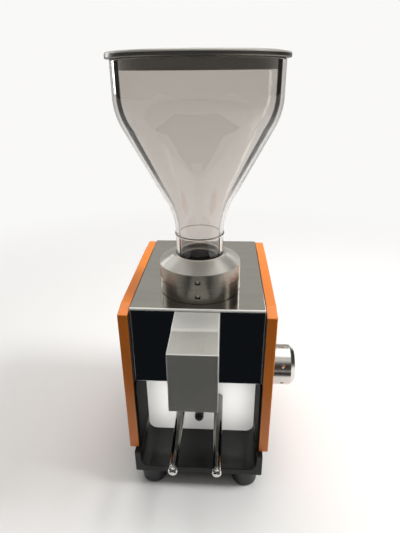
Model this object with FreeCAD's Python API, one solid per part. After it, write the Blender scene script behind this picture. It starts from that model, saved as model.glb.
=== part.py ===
"""Espresso grinder: a box body between two lacquered side panels, a glass bean hopper on a turned
collar, a spout over a fork for the filter holder, and conical burrs driven by a geared motor.

Working frame: x across the body (0 in its middle), y from front to back (0 at the polished front
plate), z up from the table. Everything is moved at export so that the origin is the centre of the
part's box on the table. Lengths are in millimetres.
"""
import FreeCAD
import Part
import math
import os
from FreeCAD import Vector

# Body
body_width = 130.0
body_height = 192.5
panel_thick = 8.8
panel_front_reach = 6.3
panel_rear_y = 157.0
panel_bottom_z = 44.0
panel_slope_drop = 3.2
panel_rear_drop = 1.8
panel_front_slope = 16.3
panel_rear_slope = 34.0
panel_edge_round = 1.2
cheek_thick = 1.8
cheek_front_reach = 5.0
plate_side_gap = 0.2
top_plate_thick = 2.2
front_plate_thick = 3.0
plate_bevel = 0.6
housing_height = 74.7
deck_thick = 3.2
deck_flange_height = 13.0
rear_cover_thick = 1.8
rear_cover_inset = 1.6
vent_slot_height = 2.6
vent_slot_length = 46.0
vent_pitch = 6.4
vent_count = 7
vent_top_drop = 20.0

# Base frame and feet
foot_height = 19.5
foot_top_radius = 13.0
foot_bottom_radius = 11.7
foot_recess_radius = 5.2
foot_recess_depth = 9.0
foot_edge_round = 1.4
foot_inset_x = 15.4
foot_front_y = 3.0
foot_rear_y = 134.0
base_inset = 5.0
base_floor_thick = 7.0
base_front_reach = 12.0
base_corner_radius = 8.5
base_edge_round = 1.5
base_rear_y = 150.0
arm_gap = 0.5
foot_screw_radius = 2.0
foot_screw_head_radius = 3.8
foot_screw_head_height = 2.6
foot_screw_bite = 5.0

# Bay, fork and start button
bay_depth = 36.0
back_plate_thick = 1.5
back_plate_gap = 0.2
fork_height_share = 0.482
fork_spacing = 36.0
fork_rod_radius = 4.35
fork_rod_tip_radius = 3.45
fork_reach = 55.5
fork_head_radius = 3.95
fork_head_length = 2.6
fork_neck_radius = 2.8
fork_neck_length = 1.4
fork_tip_share = 0.45
fork_tail = 12.0
fork_bracket_thick = 4.0
fork_bracket_height = 24.0
fork_bracket_margin = 14.0
fork_nut_radius = 7.0
fork_nut_thick = 4.5
hole_gap = 0.05
button_radius = 4.2
button_tip_y = 4.5
button_travel = 3.0
button_tip_share = 0.8
button_stem_radius = 2.0
button_shoulder_y = 36.0
button_stem_tail = 8.3
button_slide_gap = 0.1
bush_front_reach = 7.0
bush_flange_radius = 7.0
bush_barrel_radius = 6.2
bush_web_thick = 1.2
bush_tail = 2.0
spring_wire_radius = 0.3
spring_coil_radius = 3.0
spring_turns = 4
spring_turn_steps = 12
spring_wire_sides = 6
spring_seat_gap = 0.25
switch_width = 20.0
switch_depth = 10.0
switch_height = 6.4
switch_gap = 0.3
switch_button_radius = 1.3
switch_ear_thick = 1.6
switch_ear_height = 12.0

# Spout
spout_width = 37.0
spout_reach = 56.0
spout_top_drop = 3.8
spout_height = 51.8
spout_wall = 2.2
spout_saddle_depth = 24.0
spout_saddle_rise = 1.2
saddle_round_share = 0.9
spout_edge_round = 0.9
chute_half_width = 9.5
chute_height = 15.0
chute_drop = 39.0
snout_side = 8.0
snout_margin = 5.0
spout_screw_radius = 1.6
spout_screw_head_radius = 3.0
spout_screw_head_height = 1.8
spout_screw_bite = 9.0
deflector_thick = 1.2
deflector_drop = 8.0
deflector_reach = 27.0
deflector_lip = 5.0

# Collar, hopper and lid
burr_y = 44.0
collar_radius = 35.5
collar_lower_height = 13.0
collar_upper_height = 13.0
collar_cone_height = 7.5
collar_rim_radius = 23.6
collar_groove = 0.4
collar_foot_step = 0.7
collar_foot_height = 0.8
tommy_hole_radius = 2.25
tommy_hole_depth = 5.0
tommy_hole_count = 4
tommy_first_angle = 90.0
grub_screw_radius = 1.5
grub_screw_length = 3.0
hopper_seat_depth = 5.5
throat_radius = 15.5
neck_radius = 20.5
neck_gap = 0.3
neck_height = 23.0
bead_radius = 1.1
glass_thick = 3.0
hopper_wall_height = 36.3
funnel_lower_round = 62.0
funnel_upper_round = 48.0
hopper_radius = 63.8
hopper_height = 156.0
hopper_lip_round = 1.2
lid_overhang = 3.2
lid_thick = 4.2
lid_edge_round = 1.6
lid_plug_gap = 0.8
lid_skirt_depth = 7.4
lid_wall = 2.0
lid_rest_gap = 0.3
lid_dish_inset = 8.0
lid_dish_depth = 1.2

# Burrs, shaft and chamber
shaft_radius = 4.0
running_gap = 0.05
lift_travel = 0.8
carrier_radius = 27.0
carrier_skirt = 12.0
carrier_neck_rise = 6.0
carrier_wall = 3.0
ring_burr_height = 20.0
ring_burr_drop = 18.0
ring_top_radius = 17.4
ring_bottom_radius = 19.6
ring_tooth_depth = 1.3
ring_teeth = 20
ring_twist_angle = 14.0
tooth_root_share = 0.62
cone_top_radius = 8.0
cone_slope_share = 0.594
cone_height = 22.0
cone_tooth_depth = 1.6
cone_teeth = 12
cone_twist_angle = 40.0
cone_nut_radius = 6.6
cone_nut_height = 4.5
shaft_tip = 1.5
chamber_wall = 4.0
chamber_flange_radius = 37.0
chamber_flange_thick = 5.0
chamber_floor_thick = 4.5
chamber_hub_radius = 14.5
chamber_hub_drop = 8.0
collar_bolt_circle = 31.6
collar_bolt_radius = 1.5
collar_bolt_head_radius = 2.8
collar_bolt_head_height = 2.6
collar_bolt_bite = 8.0
collar_bolt_count = 4
bolt_first_angle = 45.0
bearing_radius = 11.0
bearing_height = 8.0
sweeper_gap = 1.2
sweeper_thick = 3.0
sweeper_rim_gap = 1.5
sweeper_vane_height = 8.0
sweeper_vane_thick = 2.2
sweeper_vane_length = 8.0
sweeper_vanes = 4
vane_first_angle = 20.0
sweeper_hub_radius = 8.0

# Gears and motor
gear_module = 1.5
gear_teeth = 48
pinion_teeth = 16
pressure_angle = 20.0
addendum_share = 0.85
dedendum_share = 1.1
flank_steps = 3
gear_first_angle = 90.0
tooth_backlash = 0.3
gear_face = 7.0
gear_rim = 4.0
gear_web = 4.0
gear_hub_radius = 9.0
gear_hub_height = 10.0
gear_hole_radius = 6.0
gear_hole_count = 6
pinion_overlap = 2.6
motor_radius = 33.5
motor_wall = 2.0
motor_cap_height = 8.0
motor_cap_step = 2.0
motor_bottom_clear = 6.0
motor_boss_radius = 12.0
rotor_radius = 19.0
rotor_gap = 0.6
stator_slots = 12
stator_slot_radius = 2.2
stator_slot_circle = 23.5
stator_share = 0.469
motor_fan_thick = 3.0
motor_fan_radius = 17.0
motor_bolt_circle = 27.0
motor_bolt_radius = 1.8
motor_bolt_head_radius = 3.4
motor_bolt_head_height = 2.4
motor_bolt_count = 4

# Grind adjuster
adjuster_drop = 10.3
cam_radius = 6.0
cam_width = 9.0
cam_half_angle = 120.0
cam_gap = 0.3
cam_points = 17
lift_block_radius = 6.2
lift_block_height = 12.6
lift_pocket_radius = 5.0
journal_radius = 2.5
lift_floor = 4.4
deck_bush_radius = 7.9
deck_bush_flange_radius = 11.0
deck_bush_flange_thick = 2.2
shoulder_radius = 5.4
shoulder_height = 1.6
seat_gap = 0.1
adjuster_ear_gap = 4.0
adjuster_ear_thick = 3.0
adjuster_ear_drop = 8.0
adjuster_ear_half_depth = 9.0
adjuster_bush_radius = 7.0
knob_radius = 19.3
knob_length = 24.3
knob_gap = 0.3
knob_bevel = 4.1
knob_bevel_drop = 3.2
knob_recess_radius = 12.0
knob_recess_depth = 1.0
knob_dimples = 6
dimple_first_angle = 90.0
knob_dimple_radius = 1.6
knob_dimple_depth = 1.4
knob_dimple_x = 12.6
knob_bore_depth = 18.0

# Electrical pieces and panel screws
gland_z = 40.5
gland_x = 30.0
gland_radius = 8.0
gland_barrel_radius = 6.0
gland_bore_radius = 3.4
gland_reach = 14.0
gland_inner = 6.0
capacitor_radius = 12.0
capacitor_height = 58.0
capacitor_side_gap = 14.0
capacitor_wall_gap = 0.3
capacitor_edge_round = 0.9
terminal_width = 30.0
terminal_depth = 14.0
terminal_height = 18.0
terminal_place_share = 0.63
terminal_side_gap = 5.0
terminal_slots = 3
terminal_slot = 3.0
panel_screw_radius = 1.9
panel_screw_head_radius = 3.6
panel_screw_head_height = 2.2
panel_screw_bite = 6.0
panel_screw_front_y = 62.0
panel_screw_rear_y = 124.0
panel_screw_low_z = 64.5
panel_screw_high_z = 128.5
cover_screw_radius = 1.6
cover_screw_head_radius = 3.0
cover_screw_head_height = 1.4
cover_screw_length = 9.0
cover_screw_inset_z = 12.0
cover_post_half = 5.0

overrun = 5.0
parallel_share = 0.9

# Places worked out from the sizes above
half_body = body_width / 2
panel_inner_x = half_body - panel_thick
bay_half = panel_inner_x - cheek_thick
plate_half = panel_inner_x - plate_side_gap
top_under_z = body_height - top_plate_thick
housing_bottom_z = body_height - housing_height
deck_top_z = housing_bottom_z + deck_thick
cover_outer_y = panel_rear_y - rear_cover_inset
cover_inner_y = cover_outer_y - rear_cover_thick
base_half = half_body - base_inset
arm_top_z = panel_bottom_z - arm_gap
floor_z = foot_height + base_floor_thick
fork_z = floor_z + (housing_bottom_z - floor_z) * fork_height_share
foot_x = base_half - foot_inset_x
back_plate_rear_y = bay_depth + back_plate_thick
bracket_rear_y = back_plate_rear_y + fork_bracket_thick
collar_seam_z = body_height + collar_lower_height
collar_cone_z = collar_seam_z + collar_upper_height
collar_top_z = collar_cone_z + collar_cone_height
hopper_z = collar_top_z - hopper_seat_depth
hopper_rim_z = hopper_z + hopper_height
lid_z = hopper_rim_z + lid_rest_gap
lid_radius = hopper_radius + lid_overhang
lid_skirt_radius = hopper_radius - glass_thick - lid_plug_gap
lid_dish_radius = lid_skirt_radius - lid_dish_inset
funnel_rise = hopper_height - neck_height - hopper_wall_height
funnel_spread = hopper_radius - neck_radius
funnel_excess = 2 * funnel_lower_round - funnel_spread
funnel_half_tan = (funnel_rise - math.sqrt(funnel_rise ** 2 - funnel_spread * funnel_excess)) / funnel_excess
funnel_half_angle = 2 * math.degrees(math.atan(funnel_half_tan))
centre_distance = gear_module * (gear_teeth + pinion_teeth) / 2
motor_y = burr_y + centre_distance
carrier_top_z = collar_seam_z + carrier_neck_rise
ring_bottom_z = body_height - ring_burr_drop
ring_top_z = ring_bottom_z + ring_burr_height
carrier_bottom_z = top_under_z - carrier_skirt
cone_top_z = ring_top_z - shaft_tip
cone_bottom_z = cone_top_z - cone_height
nut_top_z = cone_top_z + cone_nut_height
shaft_top_z = nut_top_z + shaft_tip
chute_bottom_z = body_height - chute_drop
chamber_bore = carrier_radius + hole_gap
chamber_floor_z = chute_bottom_z - lift_travel
chamber_under_z = chamber_floor_z - chamber_floor_thick
hub_bottom_z = chamber_floor_z - chamber_hub_drop - bearing_height / 2
sweeper_z = chamber_floor_z + sweeper_gap + lift_travel
adjuster_z = housing_bottom_z - adjuster_drop
lift_bottom_z = adjuster_z + cam_radius + cam_gap
lift_top_z = lift_bottom_z + lift_block_height
bearing_seat_z = lift_bottom_z + lift_floor
shaft_bottom_z = bearing_seat_z + seat_gap
shoulder_z = lift_top_z + seat_gap
gear_z = shoulder_z + shoulder_height
motor_top_z = housing_bottom_z
motor_base_z = floor_z + motor_bottom_clear
stator_room = (motor_top_z - motor_base_z) * (1 - stator_share) / 2
spout_top_z = body_height - spout_top_drop
spout_bottom_z = spout_top_z - spout_height
spout_half = spout_width / 2
snout_half = chute_half_width + snout_side
knob_face_x = half_body + knob_gap
knob_end_x = knob_face_x + knob_length
gland_end_y = cover_outer_y + gland_reach
terminal_z = floor_z + (housing_bottom_z - floor_z - terminal_height) * terminal_place_share
terminal_x = bay_half - terminal_side_gap - terminal_width / 2
capacitor_x = bay_half - capacitor_side_gap - capacitor_radius
origin_x = (knob_end_x - max(half_body, lid_radius)) / 2
origin_y = (gland_end_y - spout_reach) / 2

X_AXIS = Vector(1, 0, 0)
Y_AXIS = Vector(0, 1, 0)
Z_AXIS = Vector(0, 0, 1)


# Basic solids

def block(x0, x1, y0, y1, z0, z1):
    """Box between two corners."""
    return Part.makeBox(x1 - x0, y1 - y0, z1 - z0, Vector(x0, y0, z0))


def rod_x(y, z, radius, x0, x1):
    """Cylinder along x."""
    return Part.makeCylinder(radius, x1 - x0, Vector(x0, y, z), X_AXIS)


def rod_y(x, z, radius, y0, y1):
    """Cylinder along y."""
    return Part.makeCylinder(radius, y1 - y0, Vector(x, y0, z), Y_AXIS)


def rod_z(x, y, radius, z0, z1):
    """Cylinder along z."""
    return Part.makeCylinder(radius, z1 - z0, Vector(x, y, z0), Z_AXIS)


def hexagon_z(x, y, radius, z0, z1):
    """Hexagonal prism along z, measured over its corners."""
    corners = [Vector(across, along, z0) for across, along, _ in around(6, radius, x, y)]
    return Part.Face(Part.makePolygon(corners + corners[:1])).extrude(Vector(0, 0, z1 - z0))


def hexagon_y(x, z, radius, y0, y1):
    """Hexagonal prism along y, measured over its corners."""
    corners = [Vector(across, y0, up) for across, up, _ in around(6, radius, x, z)]
    return Part.Face(Part.makePolygon(corners + corners[:1])).extrude(Vector(0, y1 - y0, 0))


def prism_x(outline, x0, x1):
    """Extrude a closed outline of (y, z) points along x."""
    corners = [Vector(x0, y, z) for y, z in outline]
    return Part.Face(Part.makePolygon(corners + corners[:1])).extrude(Vector(x1 - x0, 0, 0))


def turned(profile, centre, axis=Z_AXIS):
    """Revolve a wire in the xz plane about z, then stand its axis along the given one at the centre."""
    solid = Part.Face(profile).revolve(Vector(0, 0, 0), Z_AXIS, 360)
    if not solid.isValid() or solid.Volume < 0:
        solid.reverse()
    turn = FreeCAD.Rotation(Z_AXIS, axis)
    solid.Placement = FreeCAD.Placement(centre, turn)
    return solid


def turned_points(points, centre, axis=Z_AXIS):
    """Revolve a closed outline of (radius, height) points."""
    corners = [Vector(r, 0, h) for r, h in points]
    return turned(Part.makePolygon(corners + corners[:1]), centre, axis)


def rounded_path(points, radii):
    """Edges through (radius, height) points, with a tangent arc of its own radius at each inner one."""
    edges = []
    start = Vector(points[0][0], 0, points[0][1])
    for before, corner, after, radius in zip(points, points[1:], points[2:], radii):
        here = Vector(corner[0], 0, corner[1])
        back = (Vector(before[0], 0, before[1]) - here).normalize()
        ahead = (Vector(after[0], 0, after[1]) - here).normalize()
        half = back.getAngle(ahead) / 2
        reach = radius / math.tan(half)
        middle = (back + ahead).normalize()
        centre = here + middle * (radius / math.sin(half))
        enter, leave = here + back * reach, here + ahead * reach
        edges.append(Part.LineSegment(start, enter).toShape())
        edges.append(Part.Arc(enter, centre - middle * radius, leave).toShape())
        start = leave
    end = Vector(points[-1][0], 0, points[-1][1])
    edges.append(Part.LineSegment(start, end).toShape())
    return edges


def round_edges(shape, radius, wanted):
    """Fillet the edges whose middle point satisfies a test."""
    chosen = [e for e in shape.Edges if wanted(e)]
    return shape.makeFillet(radius, chosen) if chosen else shape


def middle_of(edge):
    """Point halfway along an edge."""
    return edge.valueAt((edge.FirstParameter + edge.LastParameter) / 2)


def runs_along(edge, axis):
    """Whether an edge lies along an axis."""
    return abs(edge.tangentAt(edge.FirstParameter).dot(axis)) > parallel_share


def around(count, radius, centre_x, centre_y, first=0.0):
    """Places of a pattern on a circle, as (x, y, angle in degrees)."""
    angles = [first + 360.0 * i / count for i in range(count)]
    return [(centre_x + radius * math.cos(math.radians(a)), centre_y + radius * math.sin(math.radians(a)), a)
            for a in angles]


def mirrored(shape):
    """The same piece on the other side of the body."""
    return shape.mirror(Vector(0, 0, 0), X_AXIS)


# Base, panels and covers

def base_frame():
    """Black U-shaped base: a thick floor with two low arms and rounded inner corners."""
    z_low, z_high = foot_height, arm_top_z
    outer = block(-base_half, base_half, -base_front_reach, base_rear_y, z_low, z_high)
    outer = round_edges(outer, base_edge_round, lambda e: runs_along(e, Z_AXIS)
                        or (runs_along(e, Y_AXIS) and middle_of(e).z < floor_z))
    inner = block(-bay_half, bay_half, -base_front_reach - overrun, base_rear_y + overrun,
                  floor_z, z_high + overrun + base_corner_radius)
    inner = round_edges(inner, base_corner_radius,
                        lambda e: runs_along(e, Y_AXIS) and middle_of(e).z < z_high)
    frame = outer.cut(inner)
    for x in (-foot_x, foot_x):
        for y in (foot_front_y, foot_rear_y):
            frame = frame.cut(rod_z(x, y, foot_screw_radius, z_low - overrun, z_low + foot_screw_bite))
    return frame


def foot(x, y):
    """Rubber foot, tapered and hollow under its screw."""
    body = Part.makeCone(foot_bottom_radius, foot_top_radius, foot_height, Vector(x, y, 0), Z_AXIS)
    body = round_edges(body, foot_edge_round, lambda e: e.BoundBox.ZMax < foot_recess_depth)
    body = body.cut(rod_z(x, y, foot_recess_radius, -overrun, foot_recess_depth))
    return body.cut(rod_z(x, y, foot_screw_radius, 0, foot_height + overrun))


def foot_screw(x, y):
    """Pan-headed screw up through a foot into the floor."""
    head = rod_z(x, y, foot_screw_head_radius, foot_recess_depth - foot_screw_head_height,
                 foot_recess_depth)
    return head.fuse(rod_z(x, y, foot_screw_radius, foot_recess_depth, foot_height + foot_screw_bite))


def cheek():
    """Right steel cheek that carries the deck, the front plate and the top plate."""
    outline = [(-cheek_front_reach, arm_top_z), (cover_outer_y, arm_top_z), (cover_outer_y, top_under_z),
               (front_plate_thick, top_under_z), (front_plate_thick, housing_bottom_z),
               (-cheek_front_reach, housing_bottom_z)]
    plate = prism_x(outline, bay_half, panel_inner_x)
    for y, z in panel_screw_places():
        plate = plate.cut(rod_x(y, z, panel_screw_radius, bay_half - overrun, panel_inner_x + overrun))
    return plate


def side_panel():
    """Right lacquered panel: its top runs level, then falls away at the front and the rear."""
    low, high = panel_bottom_z, body_height
    front, rear = -panel_front_reach, panel_rear_y
    outline = [(front, low), (rear, low), (rear, high - panel_rear_drop),
               (rear - panel_rear_slope, high), (front + panel_front_slope, high),
               (front, high - panel_slope_drop)]
    panel = prism_x(outline, panel_inner_x, half_body)
    outside = half_body - panel_edge_round / 2
    panel = round_edges(panel, panel_edge_round, lambda e: middle_of(e).x > outside)
    for y, z in panel_screw_places():
        panel = panel.cut(rod_x(y, z, panel_screw_radius, panel_inner_x - overrun,
                                panel_inner_x + panel_screw_bite))
    return panel


def panel_screw_places():
    """The (y, z) places of the four screws of one panel."""
    return [(y, z) for y in (panel_screw_front_y, panel_screw_rear_y)
            for z in (panel_screw_low_z, panel_screw_high_z)]


def panel_screws():
    """Screws from inside through each cheek into its panel."""
    screws = []
    for y, z in panel_screw_places():
        seat = bay_half - (deck_thick if z > housing_bottom_z else 0)
        head = rod_x(y, z, panel_screw_head_radius, seat - panel_screw_head_height, seat)
        screw = head.fuse(rod_x(y, z, panel_screw_radius, seat, panel_inner_x + panel_screw_bite))
        screws += [screw, mirrored(screw)]
    return screws


def front_plate():
    """Mirror-polished front plate with a bright bevel all round and a window to the chute."""
    plate = block(-plate_half, plate_half, 0, front_plate_thick, housing_bottom_z, top_under_z)
    rim = [e for e in plate.Edges
           if abs(middle_of(e).y) < hole_gap and middle_of(e).z < top_under_z - hole_gap]
    plate = plate.makeChamfer(plate_bevel, rim)
    plate = plate.cut(block(-chute_half_width, chute_half_width, -overrun, front_plate_thick + overrun,
                            chute_bottom_z, chute_bottom_z + chute_height))
    for x, z in spout_screw_places():
        plate = plate.cut(rod_y(x, z, spout_screw_radius, -overrun, front_plate_thick + overrun))
    return plate


def top_plate():
    """Polished top plate with a hole for the burr carrier and its collar bolts."""
    plate = block(-plate_half, plate_half, 0, cover_outer_y, top_under_z, body_height)
    rim = [e for e in plate.Edges
           if middle_of(e).z > body_height - hole_gap and middle_of(e).y < plate_bevel]
    plate = plate.makeChamfer(plate_bevel, rim)
    plate = plate.cut(rod_z(0, burr_y, chamber_bore, top_under_z - overrun, body_height + overrun))
    for x, y, _ in around(collar_bolt_count, collar_bolt_circle, 0, burr_y, bolt_first_angle):
        plate = plate.cut(rod_z(x, y, collar_bolt_radius, top_under_z - overrun, body_height + overrun))
    return plate


def deck():
    """Folded steel deck that closes the housing below and carries motor, bush and adjuster."""
    rear = cover_inner_y
    plate = block(-bay_half, bay_half, front_plate_thick, rear, housing_bottom_z, deck_top_z)
    for side in (-1, 1):
        inner, outer = sorted((side * (bay_half - deck_thick), side * bay_half))
        plate = plate.fuse(block(inner, outer, front_plate_thick, rear, housing_bottom_z,
                                 deck_top_z + deck_flange_height))
    plate = plate.removeSplitter()
    plate = plate.cut(rod_z(0, burr_y, deck_bush_radius, housing_bottom_z - overrun, deck_top_z + overrun))
    plate = plate.cut(rod_z(0, motor_y, motor_boss_radius, housing_bottom_z - overrun, deck_top_z + overrun))
    for x, y, _ in around(motor_bolt_count, motor_bolt_circle, 0, motor_y, bolt_first_angle):
        plate = plate.cut(rod_z(x, y, motor_bolt_radius, housing_bottom_z - overrun, deck_top_z + overrun))
    for y, z in panel_screw_places():
        if z > housing_bottom_z:
            plate = plate.cut(rod_x(y, z, panel_screw_radius, -half_body, half_body))
    return plate


def cover_screw_places():
    """The (x, z) places of the rear cover's screws."""
    x = bay_half - cover_post_half
    return [(side * x, z) for side in (-1, 1)
            for z in (arm_top_z + cover_screw_inset_z, top_under_z - cover_screw_inset_z)]


def rear_cover():
    """Black rear cover with vent slots, a gland hole and folded posts for its screws."""
    low = arm_top_z
    cover = block(-bay_half, bay_half, cover_inner_y, cover_outer_y, low, top_under_z)
    skirt = block(-base_half + base_corner_radius, base_half - base_corner_radius,
                  base_rear_y, cover_outer_y, floor_z, low)
    cover = cover.fuse(skirt).removeSplitter()
    for i in range(vent_count):
        z = top_under_z - vent_top_drop - i * vent_pitch
        cover = cover.cut(block(-vent_slot_length / 2, vent_slot_length / 2, cover_inner_y - overrun,
                                cover_outer_y + overrun, z - vent_slot_height, z))
    for x, z in cover_screw_places():
        cover = cover.cut(rod_y(x, z, cover_screw_radius, cover_inner_y - overrun, cover_outer_y + overrun))
    return cover.cut(rod_y(gland_x, gland_z, gland_barrel_radius, base_rear_y - overrun,
                           cover_outer_y + overrun))


def cover_posts():
    """Tapped blocks at the cheeks that the rear cover's screws bite into."""
    posts = []
    for x, z in cover_screw_places():
        half = cover_post_half
        front = cover_inner_y - cover_screw_length
        post = block(x - half, x + half, front, cover_inner_y, z - half, z + half)
        bore = rod_y(x, z, cover_screw_radius, front - overrun, cover_inner_y + overrun)
        posts.append(post.cut(bore))
    return posts


def cover_screws():
    """Pan-headed screws of the rear cover."""
    screws = []
    for x, z in cover_screw_places():
        head = rod_y(x, z, cover_screw_head_radius, cover_outer_y, cover_outer_y + cover_screw_head_height)
        stem = rod_y(x, z, cover_screw_radius, cover_outer_y - cover_screw_length, cover_outer_y)
        screws.append(head.fuse(stem))
    return screws


# Bay, fork and start button

def bay_back_plate():
    """Polished plate at the back of the bay, rounded below to follow the base."""
    half = bay_half - back_plate_gap
    plate = block(-half, half, bay_depth, back_plate_rear_y, floor_z + back_plate_gap, housing_bottom_z)
    plate = round_edges(plate, base_corner_radius,
                        lambda e: runs_along(e, Y_AXIS) and middle_of(e).z < arm_top_z)
    for side in (-1, 1):
        plate = plate.cut(rod_y(side * fork_spacing / 2, fork_z, fork_rod_radius + hole_gap,
                                bay_depth - overrun, back_plate_rear_y + overrun))
    return plate.cut(rod_y(0, fork_z, bush_barrel_radius + hole_gap, bay_depth - overrun,
                           back_plate_rear_y + overrun))


def fork_bracket():
    """Steel cross bar behind the bay plate, with ears that hold the start switch."""
    half = fork_spacing / 2 + fork_bracket_margin
    low, high = fork_z - fork_bracket_height / 2, fork_z + fork_bracket_height / 2
    bar = block(-half, half, back_plate_rear_y, bracket_rear_y, low, high)
    ear_low, ear_high = fork_z - switch_ear_height / 2, fork_z + switch_ear_height / 2
    for side in (-1, 1):
        inner, outer = sorted((side * (switch_width / 2 + hole_gap),
                               side * (switch_width / 2 + hole_gap + switch_ear_thick)))
        bar = bar.fuse(block(inner, outer, bracket_rear_y - hole_gap, switch_front_y() + switch_depth,
                             ear_low, ear_high))
    bar = bar.removeSplitter()
    for side in (-1, 1):
        bar = bar.cut(rod_y(side * fork_spacing / 2, fork_z, fork_rod_radius + hole_gap,
                            back_plate_rear_y - overrun, bracket_rear_y + fork_nut_thick))
        pocket = rod_y(side * fork_spacing / 2, fork_z, fork_nut_radius + hole_gap,
                       bracket_rear_y, bracket_rear_y + fork_nut_thick + overrun)
        bar = bar.cut(pocket)
    return bar.cut(rod_y(0, fork_z, bush_barrel_radius + hole_gap, back_plate_rear_y - overrun,
                         bracket_rear_y + overrun))


def fork_rod(side):
    """Chromed rod that tapers to a neck and a rounded head at its front end."""
    head, neck, rod = fork_head_radius, fork_neck_radius, fork_rod_radius
    length = fork_reach + bay_depth + fork_tail
    head_end, root = fork_head_length, fork_reach + bay_depth
    neck_end = head_end + fork_neck_length
    points = [(0, 0), (head, 0), (head, head_end), (neck, head_end), (neck, neck_end),
              (fork_rod_tip_radius, neck_end), (rod, root), (rod, length), (0, length)]
    front = Vector(side * fork_spacing / 2, -fork_reach, fork_z)
    solid = turned_points(points, front, Y_AXIS)
    return round_edges(solid, head * fork_tip_share, lambda e: e.BoundBox.YMax < -fork_reach + hole_gap
                       and e.BoundBox.XLength > head)


def fork_nut(side):
    """Hexagonal nut behind the bracket."""
    x = side * fork_spacing / 2
    nut = hexagon_y(x, fork_z, fork_nut_radius, bracket_rear_y, bracket_rear_y + fork_nut_thick)
    return nut.cut(rod_y(x, fork_z, fork_rod_radius, bracket_rear_y - overrun,
                         bracket_rear_y + fork_nut_thick + overrun))


def bush_end_y():
    """Rear end of the button's bush."""
    return bracket_rear_y + bush_tail


def button_bush():
    """Flanged bush that guides the start button and carries its spring."""
    front = bay_depth - bush_front_reach
    bush = rod_y(0, fork_z, bush_flange_radius, front, bay_depth)
    bush = round_edges(bush, bush_web_thick, lambda e: e.BoundBox.YMax < front + hole_gap
                       and e.BoundBox.XLength > bush_barrel_radius)
    bush = bush.fuse(rod_y(0, fork_z, bush_barrel_radius, bay_depth, bush_end_y())).removeSplitter()
    bush = bush.cut(rod_y(0, fork_z, button_radius + button_slide_gap, front - overrun,
                          bush_end_y() - bush_web_thick))
    return bush.cut(rod_y(0, fork_z, button_stem_radius + button_slide_gap, front - overrun,
                          bush_end_y() + overrun))


def start_button():
    """Black plunger with a domed tip, and the stem that presses the switch."""
    plunger = rod_y(0, fork_z, button_radius, button_tip_y, button_shoulder_y)
    plunger = round_edges(plunger, button_radius * button_tip_share,
                          lambda e: e.BoundBox.YMax < button_tip_y + hole_gap
                          and e.BoundBox.XLength > button_radius)
    stem = rod_y(0, fork_z, button_stem_radius, button_shoulder_y, button_shoulder_y + button_stem_tail)
    return plunger.fuse(stem).removeSplitter()


def spring_section(angle, start, length):
    """Polygon across the spring's wire, square to its helix, at an angle along all its turns."""
    share = angle / (2 * math.pi * spring_turns)
    outward = Vector(math.sin(angle), 0, math.cos(angle))
    onward = Vector(math.cos(angle), 0, -math.sin(angle)) * spring_coil_radius
    climb = Vector(0, length / (2 * math.pi * spring_turns), 0)
    aside = (onward + climb).normalize().cross(outward)
    middle = Vector(0, start + share * length, fork_z) + outward * spring_coil_radius
    corners = [middle + outward * across + aside * along
               for across, along, _ in around(spring_wire_sides, spring_wire_radius, 0, 0)]
    return Part.makePolygon(corners + corners[:1])


def button_spring():
    """Small return spring round the button's stem: a ruled loft along its helix."""
    start = button_shoulder_y + spring_seat_gap + spring_wire_radius
    end = bush_end_y() - bush_web_thick - spring_seat_gap - spring_wire_radius
    turn = 2 * math.pi / spring_turn_steps
    sections = [spring_section(turn * i, start, end - start)
                for i in range(spring_turns * spring_turn_steps + 1)]
    return Part.makeLoft(sections, True, True)


def switch_front_y():
    """Front face of the start switch, just clear of the stem at full travel."""
    return button_shoulder_y + button_stem_tail + button_travel + switch_gap


def micro_switch():
    """Snap-action start switch with its two mounting holes."""
    half_w, half_h, front = switch_width / 2, switch_height / 2, switch_front_y()
    body = block(-half_w, half_w, front, front + switch_depth, fork_z - half_h, fork_z + half_h)
    for side in (-1, 1):
        x = side * (half_w - switch_button_radius - switch_ear_thick)
        body = body.cut(rod_z(x, front + switch_depth / 2, switch_button_radius,
                              fork_z - half_h - overrun, fork_z + half_h + overrun))
    return body


# Spout

def spout_screw_places():
    """The (x, z) places of the four screws that clamp spout, front plate and chamber."""
    x = chute_half_width + snout_side / 2
    low, high = chute_bottom_z - snout_margin / 2, chute_bottom_z + chute_height + snout_margin / 2
    return [(side * x, z) for side in (-1, 1) for z in (low, high)]


def spout_housing():
    """Satin aluminium spout: a box open below, with a raised saddle at the rear of its top."""
    front, low, high = -spout_reach, spout_bottom_z, spout_top_z
    outer = block(-spout_half, spout_half, front, 0, low, high)
    saddle = block(-spout_half, spout_half, -spout_saddle_depth, 0, high - overrun, high + spout_saddle_rise)
    saddle = round_edges(saddle, spout_saddle_rise * saddle_round_share,
                         lambda e: middle_of(e).z > high + hole_gap
                         and middle_of(e).y < -spout_saddle_depth + hole_gap)
    outer = outer.fuse(saddle).removeSplitter()
    outer = round_edges(outer, spout_edge_round, lambda e: middle_of(e).y < front + hole_gap
                        and middle_of(e).z > low + overrun)
    inner = block(-spout_half + spout_wall, spout_half - spout_wall, front + spout_wall, -spout_wall,
                  low - overrun, high - spout_wall)
    shell = outer.cut(inner)
    shell = shell.cut(block(-chute_half_width, chute_half_width, -spout_wall - overrun, overrun,
                            chute_bottom_z, chute_bottom_z + chute_height))
    for x, z in spout_screw_places():
        shell = shell.cut(rod_y(x, z, spout_screw_radius, -spout_wall - overrun, overrun))
    return shell


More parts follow.
